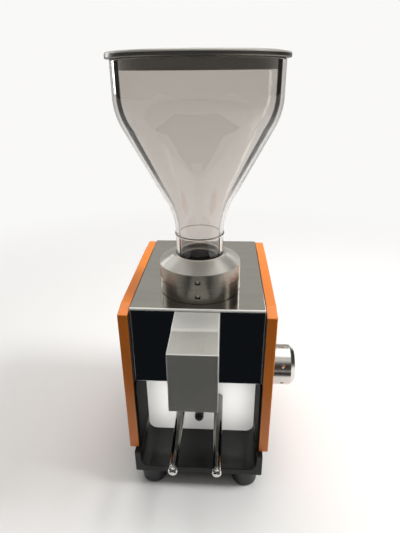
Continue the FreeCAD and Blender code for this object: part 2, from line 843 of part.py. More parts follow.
def spout_screws():
    """Screws from inside the spout through the front plate into the chamber's snout."""
    screws = []
    for x, z in spout_screw_places():
        head = rod_y(x, z, spout_screw_head_radius, -spout_wall - spout_screw_head_height, -spout_wall)
        head = head.common(block(-spout_half + spout_wall + hole_gap, spout_half - spout_wall - hole_gap,
                                 -spout_reach, 0, spout_bottom_z, spout_top_z))
        stem = rod_y(x, z, spout_screw_radius, -spout_wall, front_plate_thick + spout_screw_bite)
        screws.append(head.fuse(stem))
    return screws


def grounds_deflector():
    """Bent strip under the window that throws the grounds towards the middle of the spout."""
    head_clear = spout_screw_head_height + spout_screw_radius
    rear, top = -spout_wall, chute_bottom_z - snout_margin - spout_screw_radius
    tip = rear - deflector_reach
    thick = deflector_thick
    outline = [(rear, top), (rear, top - deflector_lip), (rear - thick, top - deflector_lip),
               (rear - thick, top - thick), (tip, top - deflector_drop), (tip, top - deflector_drop + thick),
               (rear - thick - head_clear, top)]
    half = spout_half - spout_wall - hole_gap
    return prism_x(outline, -half, half)


# Collar, hopper and lid

def tommy_holes(z):
    """Blind radial holes for a tommy bar, evenly round a ring at one height."""
    holes = []
    for x, y, angle in around(tommy_hole_count, collar_radius - tommy_hole_depth, 0, burr_y,
                             tommy_first_angle):
        way = Vector(math.cos(math.radians(angle)), math.sin(math.radians(angle)), 0)
        holes.append(Part.makeCylinder(tommy_hole_radius, tommy_hole_depth + overrun, Vector(x, y, z), way))
    return holes


def collar_lower():
    """Lower ring of the collar, bolted down through the top plate."""
    ring = rod_z(0, burr_y, collar_radius, body_height + collar_foot_height, collar_seam_z)
    rim = [e for e in ring.Edges if e.BoundBox.ZMin > collar_seam_z - hole_gap]
    ring = ring.makeChamfer(collar_groove, rim)
    ring = ring.fuse(rod_z(0, burr_y, collar_radius - collar_foot_step, body_height, collar_seam_z))
    ring = ring.cut(rod_z(0, burr_y, chamber_bore, body_height - overrun, collar_seam_z + overrun))
    for x, y, _ in around(collar_bolt_count, collar_bolt_circle, 0, burr_y, bolt_first_angle):
        ring = ring.cut(rod_z(x, y, collar_bolt_radius, body_height - overrun,
                              body_height + collar_bolt_bite))
    return ring.cut(tommy_holes(body_height + collar_lower_height / 2))


def collar_upper():
    """Upper ring with a cone on top, the seat of the hopper and the bean throat."""
    low, cone, top = collar_seam_z, collar_cone_z, collar_top_z
    seat = neck_radius + neck_gap
    points = [(chamber_bore, low), (collar_radius - collar_groove, low), (collar_radius, low + collar_groove),
              (collar_radius, cone), (collar_rim_radius, top), (seat, top), (seat, hopper_z),
              (throat_radius, hopper_z), (throat_radius, carrier_top_z), (chamber_bore, carrier_top_z)]
    ring = turned_points(points, Vector(0, burr_y, 0))
    return ring.cut(tommy_holes(collar_seam_z + collar_upper_height / 2))


def grub_screws():
    """Locking screws at the bottom of the side holes of both rings."""
    screws = []
    for z in (body_height + collar_lower_height / 2, collar_seam_z + collar_upper_height / 2):
        inner = collar_radius - tommy_hole_depth
        for x, y, angle in around(tommy_hole_count, inner, 0, burr_y, tommy_first_angle):
            way = Vector(math.cos(math.radians(angle)), math.sin(math.radians(angle)), 0)
            screws.append(Part.makeCylinder(grub_screw_radius, grub_screw_length, Vector(x, y, z), way))
    return screws


def collar_bolts():
    """Bolts that clamp chamber flange, top plate and lower ring."""
    bolts = []
    flange = top_under_z - chamber_flange_thick
    for x, y, _ in around(collar_bolt_count, collar_bolt_circle, 0, burr_y, bolt_first_angle):
        head = rod_z(x, y, collar_bolt_head_radius, flange - collar_bolt_head_height, flange)
        bolts.append(head.fuse(rod_z(x, y, collar_bolt_radius, flange, body_height + collar_bolt_bite)))
    return bolts


def funnel_corner(radius, offset):
    """Height where the funnel's cone, moved inwards by an offset, meets an upright wall of a radius."""
    slope = math.tan(math.radians(funnel_half_angle))
    corner = hopper_z + neck_height + funnel_lower_round * math.tan(math.radians(funnel_half_angle) / 2)
    shift = offset / math.cos(math.radians(funnel_half_angle))
    return corner + (radius - neck_radius + shift) / slope


def hopper_glass():
    """Blown glass hopper: straight neck with a bead, a funnel with blended ends and a straight top."""
    inner_neck, inner_top = neck_radius - glass_thick, hopper_radius - glass_thick
    outside = [(neck_radius, hopper_z), (neck_radius, funnel_corner(neck_radius, 0)),
               (hopper_radius, funnel_corner(hopper_radius, 0)), (hopper_radius, hopper_rim_z)]
    inside = [(inner_top, hopper_rim_z), (inner_top, funnel_corner(inner_top, glass_thick)),
              (inner_neck, funnel_corner(inner_neck, glass_thick)), (inner_neck, hopper_z)]
    wall = rounded_path(outside, [funnel_lower_round, funnel_upper_round])
    lining = rounded_path(inside, [funnel_upper_round - glass_thick, funnel_lower_round + glass_thick])
    rim = Part.LineSegment(Vector(hopper_radius, 0, hopper_rim_z), Vector(inner_top, 0, hopper_rim_z))
    foot_edge = Part.LineSegment(Vector(inner_neck, 0, hopper_z), Vector(neck_radius, 0, hopper_z))
    glass = turned(Part.Wire(wall + [rim.toShape()] + lining + [foot_edge.toShape()]), Vector(0, burr_y, 0))
    glass = round_edges(glass, hopper_lip_round, lambda e: e.BoundBox.ZMin > hopper_rim_z - hole_gap
                        and e.BoundBox.XLength > inner_top)
    bead_middle = Vector(0, burr_y, hopper_z + neck_height)
    bead = Part.makeTorus(neck_radius - bead_radius / 2, bead_radius, bead_middle, Z_AXIS)
    keep = rod_z(0, burr_y, hopper_radius, hopper_z, hopper_rim_z).cut(
        rod_z(0, burr_y, neck_radius - glass_thick / 2, hopper_z - overrun, hopper_rim_z + overrun))
    return glass.fuse(bead.common(keep)).removeSplitter()


def hopper_lid():
    """Flat lid with a rolled edge and a hollow plug that drops into the hopper."""
    low, high = lid_z, lid_z + lid_thick
    plug_low, under = lid_z - lid_skirt_depth, high - lid_wall - lid_dish_depth
    bore = lid_skirt_radius - lid_wall
    points = [(0, under), (bore, under), (bore, plug_low), (lid_skirt_radius, plug_low),
              (lid_skirt_radius, low), (lid_radius, low), (lid_radius, high), (lid_dish_radius, high),
              (lid_dish_radius - lid_dish_depth, high - lid_dish_depth), (0, high - lid_dish_depth)]
    lid = turned_points(points, Vector(0, burr_y, 0))
    return round_edges(lid, lid_edge_round, lambda e: e.BoundBox.XLength > lid_radius + lid_skirt_radius)


# Burrs, shaft and chamber

def star_wire(teeth, tip, root, height, turn):
    """Closed wire of straight teeth between two radii, turned about the burr axis."""
    corners = []
    for i in range(teeth):
        for radius, step in ((tip, 0), (root, tooth_root_share)):
            angle = math.radians(turn + 360.0 * (i + step) / teeth)
            corners.append(Vector(radius * math.cos(angle), burr_y + radius * math.sin(angle), height))
    return Part.makePolygon(corners + corners[:1])


def ring_burr():
    """Fixed outer burr: a steel ring with slanted teeth inside."""
    ring = rod_z(0, burr_y, carrier_radius - carrier_wall, ring_bottom_z, ring_top_z)
    rise = ring_top_z - ring_bottom_z
    flare = (ring_bottom_radius - ring_top_radius) / rise
    low, high = ring_bottom_z - overrun, ring_top_z + overrun
    low_r, high_r = ring_bottom_radius + flare * overrun, ring_top_radius - flare * overrun
    turn = ring_twist_angle / rise
    wires = [star_wire(ring_teeth, low_r, low_r + ring_tooth_depth, low, -turn * overrun),
             star_wire(ring_teeth, high_r, high_r + ring_tooth_depth, high, turn * (rise + overrun))]
    return ring.cut(Part.makeLoft(wires, True, True))


def cone_burr():
    """Turning inner burr: a steel cone with twisted cutting flutes."""
    base_radius = cone_top_radius + cone_slope_share * cone_height
    depth = cone_tooth_depth
    wires = [star_wire(cone_teeth, base_radius, base_radius - depth, cone_bottom_z, 0),
             star_wire(cone_teeth, cone_top_radius, cone_top_radius - depth, cone_top_z, cone_twist_angle)]
    cone = Part.makeLoft(wires, True, True)
    return cone.cut(rod_z(0, burr_y, shaft_radius, cone_bottom_z - overrun, cone_top_z + overrun))


def cone_nut():
    """Hexagonal nut that holds the cone on the shaft."""
    nut = hexagon_z(0, burr_y, cone_nut_radius, cone_top_z, nut_top_z)
    return nut.cut(rod_z(0, burr_y, shaft_radius, cone_top_z - overrun, nut_top_z + overrun))


def burr_shaft():
    """Steel shaft with a shoulder that stands on the thrust bearing."""
    shaft = rod_z(0, burr_y, shaft_radius, shoulder_z, shaft_top_z)
    shaft = shaft.fuse(rod_z(0, burr_y, journal_radius, shaft_bottom_z, shoulder_z))
    return shaft.fuse(rod_z(0, burr_y, shoulder_radius, shoulder_z, gear_z)).removeSplitter()


def sweeper():
    """Disc with vanes that pushes the grounds round to the window."""
    rim = chamber_bore - sweeper_rim_gap
    disc = rod_z(0, burr_y, rim, sweeper_z, sweeper_z + sweeper_thick)
    disc = disc.fuse(rod_z(0, burr_y, sweeper_hub_radius, sweeper_z, cone_bottom_z))
    vane_top = sweeper_z + sweeper_thick + sweeper_vane_height
    half = sweeper_vane_thick / 2
    for _, _, angle in around(sweeper_vanes, rim, 0, burr_y, vane_first_angle):
        vane = block(rim - sweeper_vane_length, rim - hole_gap - half, burr_y - half, burr_y + half,
                     sweeper_z + sweeper_thick / 2, vane_top)
        vane.rotate(Vector(0, burr_y, 0), Z_AXIS, angle)
        disc = disc.fuse(vane)
    disc = disc.removeSplitter()
    return disc.cut(rod_z(0, burr_y, shaft_radius, sweeper_z - overrun, cone_bottom_z + overrun))


def burr_carrier():
    """Threaded carrier of the ring burr, with the throat above it."""
    pocket = carrier_radius - carrier_wall
    points = [(pocket, carrier_bottom_z), (carrier_radius, carrier_bottom_z), (carrier_radius, carrier_top_z),
              (throat_radius, carrier_top_z), (throat_radius, ring_top_z), (pocket, ring_top_z)]
    return turned_points(points, Vector(0, burr_y, 0))


def grinding_chamber():
    """Cast chamber: a cup with a flange, a bearing hub below and a snout to the front plate."""
    wall = chamber_bore + chamber_wall
    low, high = chamber_under_z, top_under_z
    cup = rod_z(0, burr_y, wall, low, high)
    cup = cup.fuse(rod_z(0, burr_y, chamber_flange_radius, high - chamber_flange_thick, high))
    cup = cup.fuse(rod_z(0, burr_y, chamber_hub_radius, hub_bottom_z, low + hole_gap))
    window_top = chute_bottom_z + chute_height
    cup = cup.fuse(block(-snout_half, snout_half, front_plate_thick, burr_y, chute_bottom_z - snout_margin,
                         window_top + snout_margin))
    cup = cup.removeSplitter()
    cup = cup.cut(rod_z(0, burr_y, chamber_bore, chamber_floor_z, high + overrun))
    cup = cup.cut(rod_z(0, burr_y, bearing_radius, hub_bottom_z - overrun, hub_bottom_z + bearing_height))
    cup = cup.cut(rod_z(0, burr_y, shaft_radius + running_gap, hub_bottom_z, chamber_floor_z + overrun))
    cup = cup.cut(block(-chute_half_width, chute_half_width, front_plate_thick - overrun, burr_y,
                        chute_bottom_z, window_top))
    for x, y, _ in around(collar_bolt_count, collar_bolt_circle, 0, burr_y, bolt_first_angle):
        cup = cup.cut(rod_z(x, y, collar_bolt_radius, high - chamber_flange_thick - overrun, high + overrun))
        cup = cup.cut(rod_z(x, y, collar_bolt_head_radius + hole_gap, chamber_floor_z + chute_height,
                            high - chamber_flange_thick))
    for x, z in spout_screw_places():
        cup = cup.cut(rod_y(x, z, spout_screw_radius, front_plate_thick - overrun,
                            front_plate_thick + spout_screw_bite))
    return cup


def bearing(radius, bore, low, high):
    """Bearing on the burr shaft, with a running bore."""
    ring = rod_z(0, burr_y, radius, low, high)
    return ring.cut(rod_z(0, burr_y, bore + running_gap, low - overrun, high + overrun))


# Gears and motor

def involute(base, radius):
    """Angle from the start of an involute to its point at a radius."""
    along = math.sqrt(max(radius * radius / (base * base) - 1, 0))
    return along - math.atan(along)


def spur_outline(teeth, centre_x, centre_y, height, turn):
    """Closed outline of a spur gear with straight-sided steps along its involute flanks."""
    pitch = gear_module * teeth / 2
    base = pitch * math.cos(math.radians(pressure_angle))
    tip = pitch + gear_module * addendum_share
    root = pitch - gear_module * dedendum_share
    half_tooth = (math.pi * gear_module - tooth_backlash) / (4 * pitch)
    half_base = half_tooth + involute(base, pitch)
    start = max(base, root)
    radii = [start + (tip - start) * step / flank_steps for step in range(flank_steps + 1)]
    flank = [(r, half_base - involute(base, r)) for r in radii]
    if root < base:
        flank = [(root, half_base)] + flank
    corners = []
    for i in range(teeth):
        middle = math.radians(turn) + 2 * math.pi * i / teeth
        side = [(r, middle - a) for r, a in flank] + [(r, middle + a) for r, a in reversed(flank)]
        corners += [Vector(centre_x + r * math.cos(a), centre_y + r * math.sin(a), height) for r, a in side]
    return Part.makePolygon(corners + corners[:1])


def main_gear():
    """Large gear on the burr shaft, with a thin web, lightening holes and a hub."""
    low, high = gear_z, gear_z + gear_face
    gear = Part.Face(spur_outline(gear_teeth, 0, burr_y, low, gear_first_angle))
    gear = gear.extrude(Vector(0, 0, gear_face))
    rim = gear_module * gear_teeth / 2 - gear_module * dedendum_share - gear_rim
    pocket = rod_z(0, burr_y, rim, high - (gear_face - gear_web), high + overrun)
    gear = gear.cut(pocket)
    gear = gear.fuse(rod_z(0, burr_y, gear_hub_radius, low, low + gear_hub_height)).removeSplitter()
    for x, y, _ in around(gear_hole_count, (rim + gear_hub_radius) / 2, 0, burr_y):
        gear = gear.cut(rod_z(x, y, gear_hole_radius, low - overrun, high + overrun))
    return gear.cut(rod_z(0, burr_y, shaft_radius, low - overrun, low + gear_hub_height + overrun))


def pinion_span():
    """Lowest and highest level of the pinion, which covers the gear's face over its lift."""
    return gear_z - pinion_overlap, gear_z + gear_face + pinion_overlap


def motor_pinion():
    """Small gear on the motor shaft."""
    low, high = pinion_span()
    turn = gear_first_angle + 180.0 + 180.0 / pinion_teeth
    pinion = Part.Face(spur_outline(pinion_teeth, 0, motor_y, low, turn)).extrude(Vector(0, 0, high - low))
    return pinion.cut(rod_z(0, motor_y, shaft_radius, low - overrun, high + overrun))


def motor_shaft():
    """Motor shaft through both end caps."""
    return rod_z(0, motor_y, shaft_radius, motor_base_z + motor_cap_step, pinion_span()[1])


def rotor_span():
    """Lowest and highest level of the rotor stack."""
    return motor_base_z + stator_room, motor_top_z - stator_room


def motor_rotor():
    """Rotor stack with a cooling fan below it."""
    low, high = rotor_span()
    core = rod_z(0, motor_y, rotor_radius, low, high)
    fan_z = motor_base_z + motor_cap_height + motor_cap_step + rotor_gap
    core = core.fuse(rod_z(0, motor_y, sweeper_hub_radius, fan_z, low))
    core = core.fuse(rod_z(0, motor_y, motor_fan_radius, fan_z, fan_z + motor_fan_thick)).removeSplitter()
    return core.cut(rod_z(0, motor_y, shaft_radius, fan_z - overrun, high + overrun))


def motor_stator():
    """Laminated stator with round winding slots."""
    low, high = rotor_span()
    stack = rod_z(0, motor_y, motor_radius - motor_wall, low, high)
    stack = stack.cut(rod_z(0, motor_y, rotor_radius + rotor_gap, low - overrun, high + overrun))
    for x, y, _ in around(stator_slots, stator_slot_circle, 0, motor_y):
        stack = stack.cut(rod_z(x, y, stator_slot_radius, low - overrun, high + overrun))
    for x, y, _ in around(motor_bolt_count, motor_bolt_circle, 0, motor_y, bolt_first_angle):
        stack = stack.cut(rod_z(x, y, motor_bolt_radius, low - overrun, high + overrun))
    return stack


def motor_can():
    """Steel tube of the motor."""
    low, high = motor_base_z + motor_cap_height, motor_top_z - motor_cap_height
    tube = rod_z(0, motor_y, motor_radius, low, high)
    return tube.cut(rod_z(0, motor_y, motor_radius - motor_wall, low - overrun, high + overrun))


def motor_cap(low, high, step_low, step_high):
    """Cast end cap with a running bore and four bolt holes."""
    below, above = min(low, step_low) - overrun, max(high, step_high) + overrun
    cap = rod_z(0, motor_y, motor_radius, low, high).fuse(
        rod_z(0, motor_y, motor_radius - motor_wall - hole_gap, step_low, step_high)).removeSplitter()
    cap = cap.cut(rod_z(0, motor_y, shaft_radius + running_gap, below, above))
    for x, y, _ in around(motor_bolt_count, motor_bolt_circle, 0, motor_y, bolt_first_angle):
        cap = cap.cut(rod_z(x, y, motor_bolt_radius, below, above))
    return cap


def motor_cap_upper():
    """Upper end cap, flat against the deck, with a boss through it."""
    low, high = motor_top_z - motor_cap_height, motor_top_z
    cap = motor_cap(low, high, low - motor_cap_step, low + hole_gap)
    boss = rod_z(0, motor_y, motor_boss_radius - hole_gap, high, deck_top_z)
    boss = boss.cut(rod_z(0, motor_y, shaft_radius + running_gap, high - overrun, deck_top_z + overrun))
    return cap.fuse(boss).removeSplitter()


def motor_cap_lower():
    """Lower end cap."""
    low, high = motor_base_z, motor_base_z + motor_cap_height
    return motor_cap(low, high, high - hole_gap, high + motor_cap_step)


def motor_bolts():
    """Through bolts that hang the motor from the deck."""
    bolts = []
    for x, y, _ in around(motor_bolt_count, motor_bolt_circle, 0, motor_y, bolt_first_angle):
        head = rod_z(x, y, motor_bolt_head_radius, deck_top_z, deck_top_z + motor_bolt_head_height)
        bolts.append(head.fuse(rod_z(x, y, motor_bolt_radius, motor_base_z, deck_top_z)))
    return bolts


# Grind adjuster

def cam_wire(x):
    """Spiral cam outline about the adjuster axis: its radius falls evenly with the angle."""
    rate = lift_travel / cam_half_angle
    turns = [cam_half_angle * (2 * i / (cam_points - 1) - 1) for i in range(cam_points)]
    corners = []
    for turn in turns:
        r, angle = cam_radius - rate * turn, math.radians(turn)
        corners.append(Vector(x, burr_y - r * math.sin(angle), adjuster_z + r * math.cos(angle)))
    curve = Part.BSplineCurve()
    curve.interpolate(corners)
    closing = Part.LineSegment(corners[-1], corners[0])
    return Part.Wire([curve.toShape(), closing.toShape()])


def adjuster_shaft():
    """Cross shaft with the spiral cam that lifts the burr shaft."""
    left = -(cam_width / 2 + adjuster_ear_gap + adjuster_ear_thick)
    shaft = rod_x(burr_y, adjuster_z, shaft_radius, left, knob_face_x + knob_bore_depth)
    cam = Part.Face(cam_wire(-cam_width / 2)).extrude(Vector(cam_width, 0, 0))
    return shaft.fuse(cam).removeSplitter()


def adjuster_bracket():
    """Two ears under the deck that carry the adjuster shaft."""
    gap = cam_width / 2 + adjuster_ear_gap
    ears = []
    for side in (-1, 1):
        inner, outer = sorted((side * gap, side * (gap + adjuster_ear_thick)))
        ear = block(inner, outer, back_plate_rear_y + back_plate_gap, burr_y + adjuster_ear_half_depth,
                    adjuster_z - adjuster_ear_drop, housing_bottom_z)
        bore = rod_x(burr_y, adjuster_z, shaft_radius + running_gap, inner - overrun, outer + overrun)
        ears.append(ear.cut(bore))
    return ears


def adjuster_bush():
    """Bronze sleeve of the cross shaft, through cheek and panel."""
    bush = rod_x(burr_y, adjuster_z, adjuster_bush_radius, bay_half, half_body)
    return bush.cut(rod_x(burr_y, adjuster_z, shaft_radius + running_gap, bay_half - overrun,
                          half_body + overrun))


def adjuster_knob():
    """Turned aluminium knob with a bevelled end, a shallow recess and finger dimples."""
    end = knob_length
    points = [(0, knob_bore_depth), (shaft_radius, knob_bore_depth), (shaft_radius, 0), (knob_radius, 0),
              (knob_radius, end - knob_bevel), (knob_radius - knob_bevel_drop, end),
              (knob_recess_radius, end),
              (knob_recess_radius - knob_recess_depth, end - knob_recess_depth),
              (0, end - knob_recess_depth)]
    knob = turned_points(points, Vector(knob_face_x, burr_y, adjuster_z), X_AXIS)
    bottom = knob_radius - knob_dimple_depth
    for y, z, angle in around(knob_dimples, bottom, burr_y, adjuster_z, dimple_first_angle):
        way = Vector(0, math.cos(math.radians(angle)), math.sin(math.radians(angle)))
        start = Vector(knob_face_x + knob_dimple_x, y, z)
        knob = knob.cut(Part.makeCylinder(knob_dimple_radius, knob_dimple_depth + overrun, start, way))
    return knob


def lift_block():
    """Sliding block under the burr shaft, with a pocket for the thrust bearing."""
    body = rod_z(0, burr_y, lift_block_radius, lift_bottom_z, lift_top_z)
    return body.cut(rod_z(0, burr_y, lift_pocket_radius, bearing_seat_z, lift_top_z + overrun))


def thrust_bearing():
    """Bearing in the lift block that carries the burr shaft."""
    return bearing(lift_pocket_radius, journal_radius, bearing_seat_z, lift_top_z)


def deck_bush():
    """Flanged bronze bush in the deck that guides the lift block."""
    flange_top = deck_top_z + deck_bush_flange_thick
    bush = rod_z(0, burr_y, deck_bush_radius, housing_bottom_z, deck_top_z).fuse(
        rod_z(0, burr_y, deck_bush_flange_radius, deck_top_z, flange_top)).removeSplitter()
    return bush.cut(rod_z(0, burr_y, lift_block_radius + running_gap, housing_bottom_z - overrun,
                          flange_top + overrun))


# Electrical pieces

def cable_gland():
    """Screwed cable gland in the rear cover, with its hexagonal collar."""
    inner, outer = cover_inner_y - gland_inner, gland_end_y
    body = rod_y(gland_x, gland_z, gland_barrel_radius, inner, outer)
    collar = hexagon_y(gland_x, gland_z, gland_radius, cover_outer_y, cover_outer_y + gland_reach / 2)
    body = body.fuse(collar).removeSplitter()
    return body.cut(rod_y(gland_x, gland_z, gland_bore_radius, inner - overrun, outer + overrun))


def run_capacitor():
    """Motor capacitor standing on the floor in a rear corner."""
    y = base_rear_y - capacitor_radius - capacitor_wall_gap
    can = rod_z(-capacitor_x, y, capacitor_radius, floor_z, floor_z + capacitor_height)
    return round_edges(can, capacitor_edge_round, lambda e: e.BoundBox.ZMin > floor_z + overrun
                       and e.BoundBox.XLength > capacitor_radius)


def terminal_block():
    """Terminal block on the rear cover, with wire slots."""
    rear = cover_inner_y
    half = terminal_width / 2
    body = block(terminal_x - half, terminal_x + half, rear - terminal_depth, rear,
                 terminal_z, terminal_z + terminal_height)
    step = terminal_width / terminal_slots
    for i in range(terminal_slots):
        x = terminal_x - half + step / 2 + step * i
        body = body.cut(block(x - terminal_slot / 2, x + terminal_slot / 2, rear - terminal_depth - overrun,
                              rear - terminal_depth / 2, terminal_z + terminal_height / 2,
                              terminal_z + terminal_height + overrun))
    return body


def nodes():
    """Every named piece of the grinder."""
    feet = [(x, y) for x in (-foot_x, foot_x) for y in (foot_front_y, foot_rear_y)]
    shaft_hole = rod_x(burr_y, adjuster_z, adjuster_bush_radius, bay_half - overrun, half_body + overrun)
    return {
        "base_frame": base_frame(),
        "rubber_feet": [foot(x, y) for x, y in feet],
        "foot_screws": [foot_screw(x, y) for x, y in feet],
        "cheek_left": mirrored(cheek()),
        "cheek_right": cheek().cut(shaft_hole),
        "side_panel_left": mirrored(side_panel()),
        "side_panel_right": side_panel().cut(shaft_hole),
        "panel_screws": panel_screws(),
        "front_plate": front_plate(),
        "top_plate": top_plate(),
        "deck": deck(),
        "rear_cover": rear_cover(),
        "rear_cover_posts": cover_posts(),
        "rear_cover_screws": cover_screws(),
        "bay_back_plate": bay_back_plate(),
        "fork_bracket": fork_bracket(),
        "fork_rod_left": fork_rod(-1),
        "fork_rod_right": fork_rod(1),
        "fork_nuts": [fork_nut(-1), fork_nut(1)],
        "button_bush": button_bush(),
        "start_button": start_button(),
        "button_spring": button_spring(),
        "start_switch": micro_switch(),
        "spout_housing": spout_housing(),
        "spout_screws": spout_screws(),
        "grounds_deflector": grounds_deflector(),
        "collar_lower": collar_lower(),
        "collar_upper": collar_upper(),
        "collar_grub_screws": grub_screws(),
        "collar_bolts": collar_bolts(),
        "hopper_glass": hopper_glass(),
        "hopper_lid": hopper_lid(),
        "burr_carrier": burr_carrier(),
        "ring_burr": ring_burr(),
        "cone_burr": cone_burr(),
        "cone_nut": cone_nut(),
        "burr_shaft": burr_shaft(),
        "sweeper": sweeper(),
        "grinding_chamber": grinding_chamber(),
        "shaft_bearing": bearing(bearing_radius, shaft_radius, hub_bottom_z, hub_bottom_z + bearing_height),
        "lift_block": lift_block(),
        "thrust_bearing": thrust_bearing(),
        "deck_bush": deck_bush(),
        "adjuster_shaft": adjuster_shaft(),
        "adjuster_bracket": adjuster_bracket(),
        "adjuster_bush": adjuster_bush(),
        "adjuster_knob": adjuster_knob(),
        "main_gear": main_gear(),
        "motor_pinion": motor_pinion(),
        "motor_shaft": motor_shaft(),
        "motor_rotor": motor_rotor(),
        "motor_stator": motor_stator(),
        "motor_can": motor_can(),
        "motor_cap_upper": motor_cap_upper(),
        "motor_cap_lower": motor_cap_lower(),
        "motor_bolts": motor_bolts(),
        "cable_gland": cable_gland(),
        "run_capacitor": run_capacitor(),
        "terminal_block": terminal_block(),
    }


def write_parts():
    """Move every node to the part's origin and write it to its own file."""
    os.makedirs("parts", exist_ok=True)
    for name, shape in nodes().items():
        if isinstance(shape, list):
            shape = Part.makeCompound(shape)
        shape.translate(Vector(-origin_x, -origin_y, 0))
        shape.exportStep(os.path.join("parts", name + ".step"))
        print(name, len(shape.Solids), round(shape.Volume), shape.isValid())


write_parts()
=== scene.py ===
"""Looks of an espresso grinder: lacquered side panels, a polished steel front and top, a turned
collar, a clear glass hopper with a metal lid, a chromed fork under the spout and a plain
adjusting knob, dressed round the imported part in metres."""
import math

import bmesh
import bpy
import numpy as np
from mathutils import Matrix, Vector

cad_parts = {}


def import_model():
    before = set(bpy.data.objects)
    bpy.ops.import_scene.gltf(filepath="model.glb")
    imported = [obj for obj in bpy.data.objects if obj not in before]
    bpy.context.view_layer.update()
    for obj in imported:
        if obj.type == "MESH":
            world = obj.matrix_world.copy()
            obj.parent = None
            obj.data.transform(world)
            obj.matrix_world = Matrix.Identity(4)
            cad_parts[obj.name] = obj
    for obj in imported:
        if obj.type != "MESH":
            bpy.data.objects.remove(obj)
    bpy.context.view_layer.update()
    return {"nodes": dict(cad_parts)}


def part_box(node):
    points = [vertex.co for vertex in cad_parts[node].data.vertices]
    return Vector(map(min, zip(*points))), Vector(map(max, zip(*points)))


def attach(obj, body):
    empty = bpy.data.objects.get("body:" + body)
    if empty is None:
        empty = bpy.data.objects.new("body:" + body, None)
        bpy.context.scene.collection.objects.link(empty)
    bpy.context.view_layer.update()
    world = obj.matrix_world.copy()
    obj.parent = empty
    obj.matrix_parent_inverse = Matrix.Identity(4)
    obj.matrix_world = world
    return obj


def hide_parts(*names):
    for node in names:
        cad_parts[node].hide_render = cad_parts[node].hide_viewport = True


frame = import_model()

MM = 0.001

# Sizes of the pieces, beside those that the frame gives
turn_steps = 160
arc_steps = 8
smooth_angle = math.radians(32)

neck_radius = 20.5 * MM
neck_height = 23.0 * MM
glass_thick = 3.0 * MM
funnel_half_angle = math.radians(28.068)
funnel_lower_round = 62.0 * MM
funnel_upper_round = 48.0 * MM
glass_lip_round = 1.35 * MM
bead_radius = 1.1 * MM
foot_lip_round = 1.0 * MM

lid_thick = 4.2 * MM
lid_wall = 2.0 * MM
lid_edge_round = 1.8 * MM
lid_skirt_radius = 60.0 * MM
lid_skirt_round = 0.7 * MM
lid_dish_radius = 52.0 * MM
lid_dish_depth = 1.2 * MM
lid_pale = 1.7 * MM

collar_groove = 0.35 * MM
collar_edge_round = 0.35 * MM
collar_foot_step = 0.7 * MM
collar_foot_height = 0.8 * MM
collar_cone_height = 7.5 * MM
collar_rim_radius = 23.6 * MM
collar_bore = 27.05 * MM
hopper_seat_depth = 5.5 * MM
hopper_seat_radius = 20.8 * MM
throat_radius = 15.5 * MM
carrier_rise = 6.0 * MM
tommy_radius = 2.25 * MM
tommy_depth = 5.0 * MM
tommy_count = 4
countersink = 0.35 * MM

knob_bevel = 4.1 * MM
knob_bevel_drop = 3.2 * MM
knob_recess_radius = 12.0 * MM
knob_recess_depth = 1.0 * MM
knob_bore_radius = 4.0 * MM
knob_bore_depth = 18.0 * MM
knob_edge_round = 0.4 * MM
dimple_x = 12.6 * MM
dimple_radius = 1.6 * MM
dimple_depth = 1.4 * MM
dimple_count = 6

rod_radius = 4.35 * MM
rod_tip_radius = 3.45 * MM
rod_reach = 91.5 * MM
rod_head_radius = 3.95 * MM
rod_head_length = 2.6 * MM
rod_neck_radius = 2.8 * MM
rod_neck_length = 1.4 * MM
rod_nose_round = 2.5 * MM
rod_head_round = 0.5 * MM

button_radius = 4.2 * MM
button_shoulder = 8.3 * MM
button_stem_radius = 2.0 * MM
button_tip_round = 3.9 * MM
bush_flange_radius = 7.0 * MM
bush_flange_reach = 7.0 * MM
bush_barrel_radius = 6.2 * MM
bush_bore_radius = 4.6 * MM
bush_web = 1.2 * MM
bush_round = 1.3 * MM

foot_bottom_radius = 11.7 * MM
foot_taper = 1.3 * MM
foot_edge_round = 1.8 * MM
foot_top_round = 0.5 * MM
foot_recess_radius = 5.2 * MM
foot_recess_depth = 9.0 * MM
foot_bore_radius = 2.0 * MM

spout_wall = 2.2 * MM
spout_saddle_depth = 24.0 * MM
spout_saddle_rise = 1.2 * MM
spout_saddle_round = 1.5 * MM
spout_edge_round = 0.75 * MM
sheet_bend = 1.4 * MM
sheet_edge_round = 0.5 * MM
sheet_bore = 27.05 * MM
chute_half_width = 9.5 * MM
chute_low = 153.5 * MM
chute_height = 15.0 * MM
overrun = 5.0 * MM

panel_slope_drop = 3.2 * MM
panel_rear_drop = 1.8 * MM
panel_front_slope = 16.3 * MM
panel_rear_slope = 34.0 * MM
panel_edge_round = 1.0 * MM

base_floor_top = 26.5 * MM
base_inner_half = 54.4 * MM
base_corner_radius = 8.5 * MM
base_outer_round = 1.5 * MM
base_edge_round = 0.7 * MM

gland_hex_radius = 8.0 * MM
gland_hex_length = 7.0 * MM
gland_barrel_radius = 6.0 * MM
gland_bore_radius = 3.4 * MM
gland_lip = 0.8 * MM
gland_ribs = 5
gland_rib_depth = 0.35 * MM

screw_head_radius = 3.0 * MM
screw_head_round = 1.1 * MM
screw_recess_radius = 1.25 * MM
screw_recess_depth = 0.9 * MM

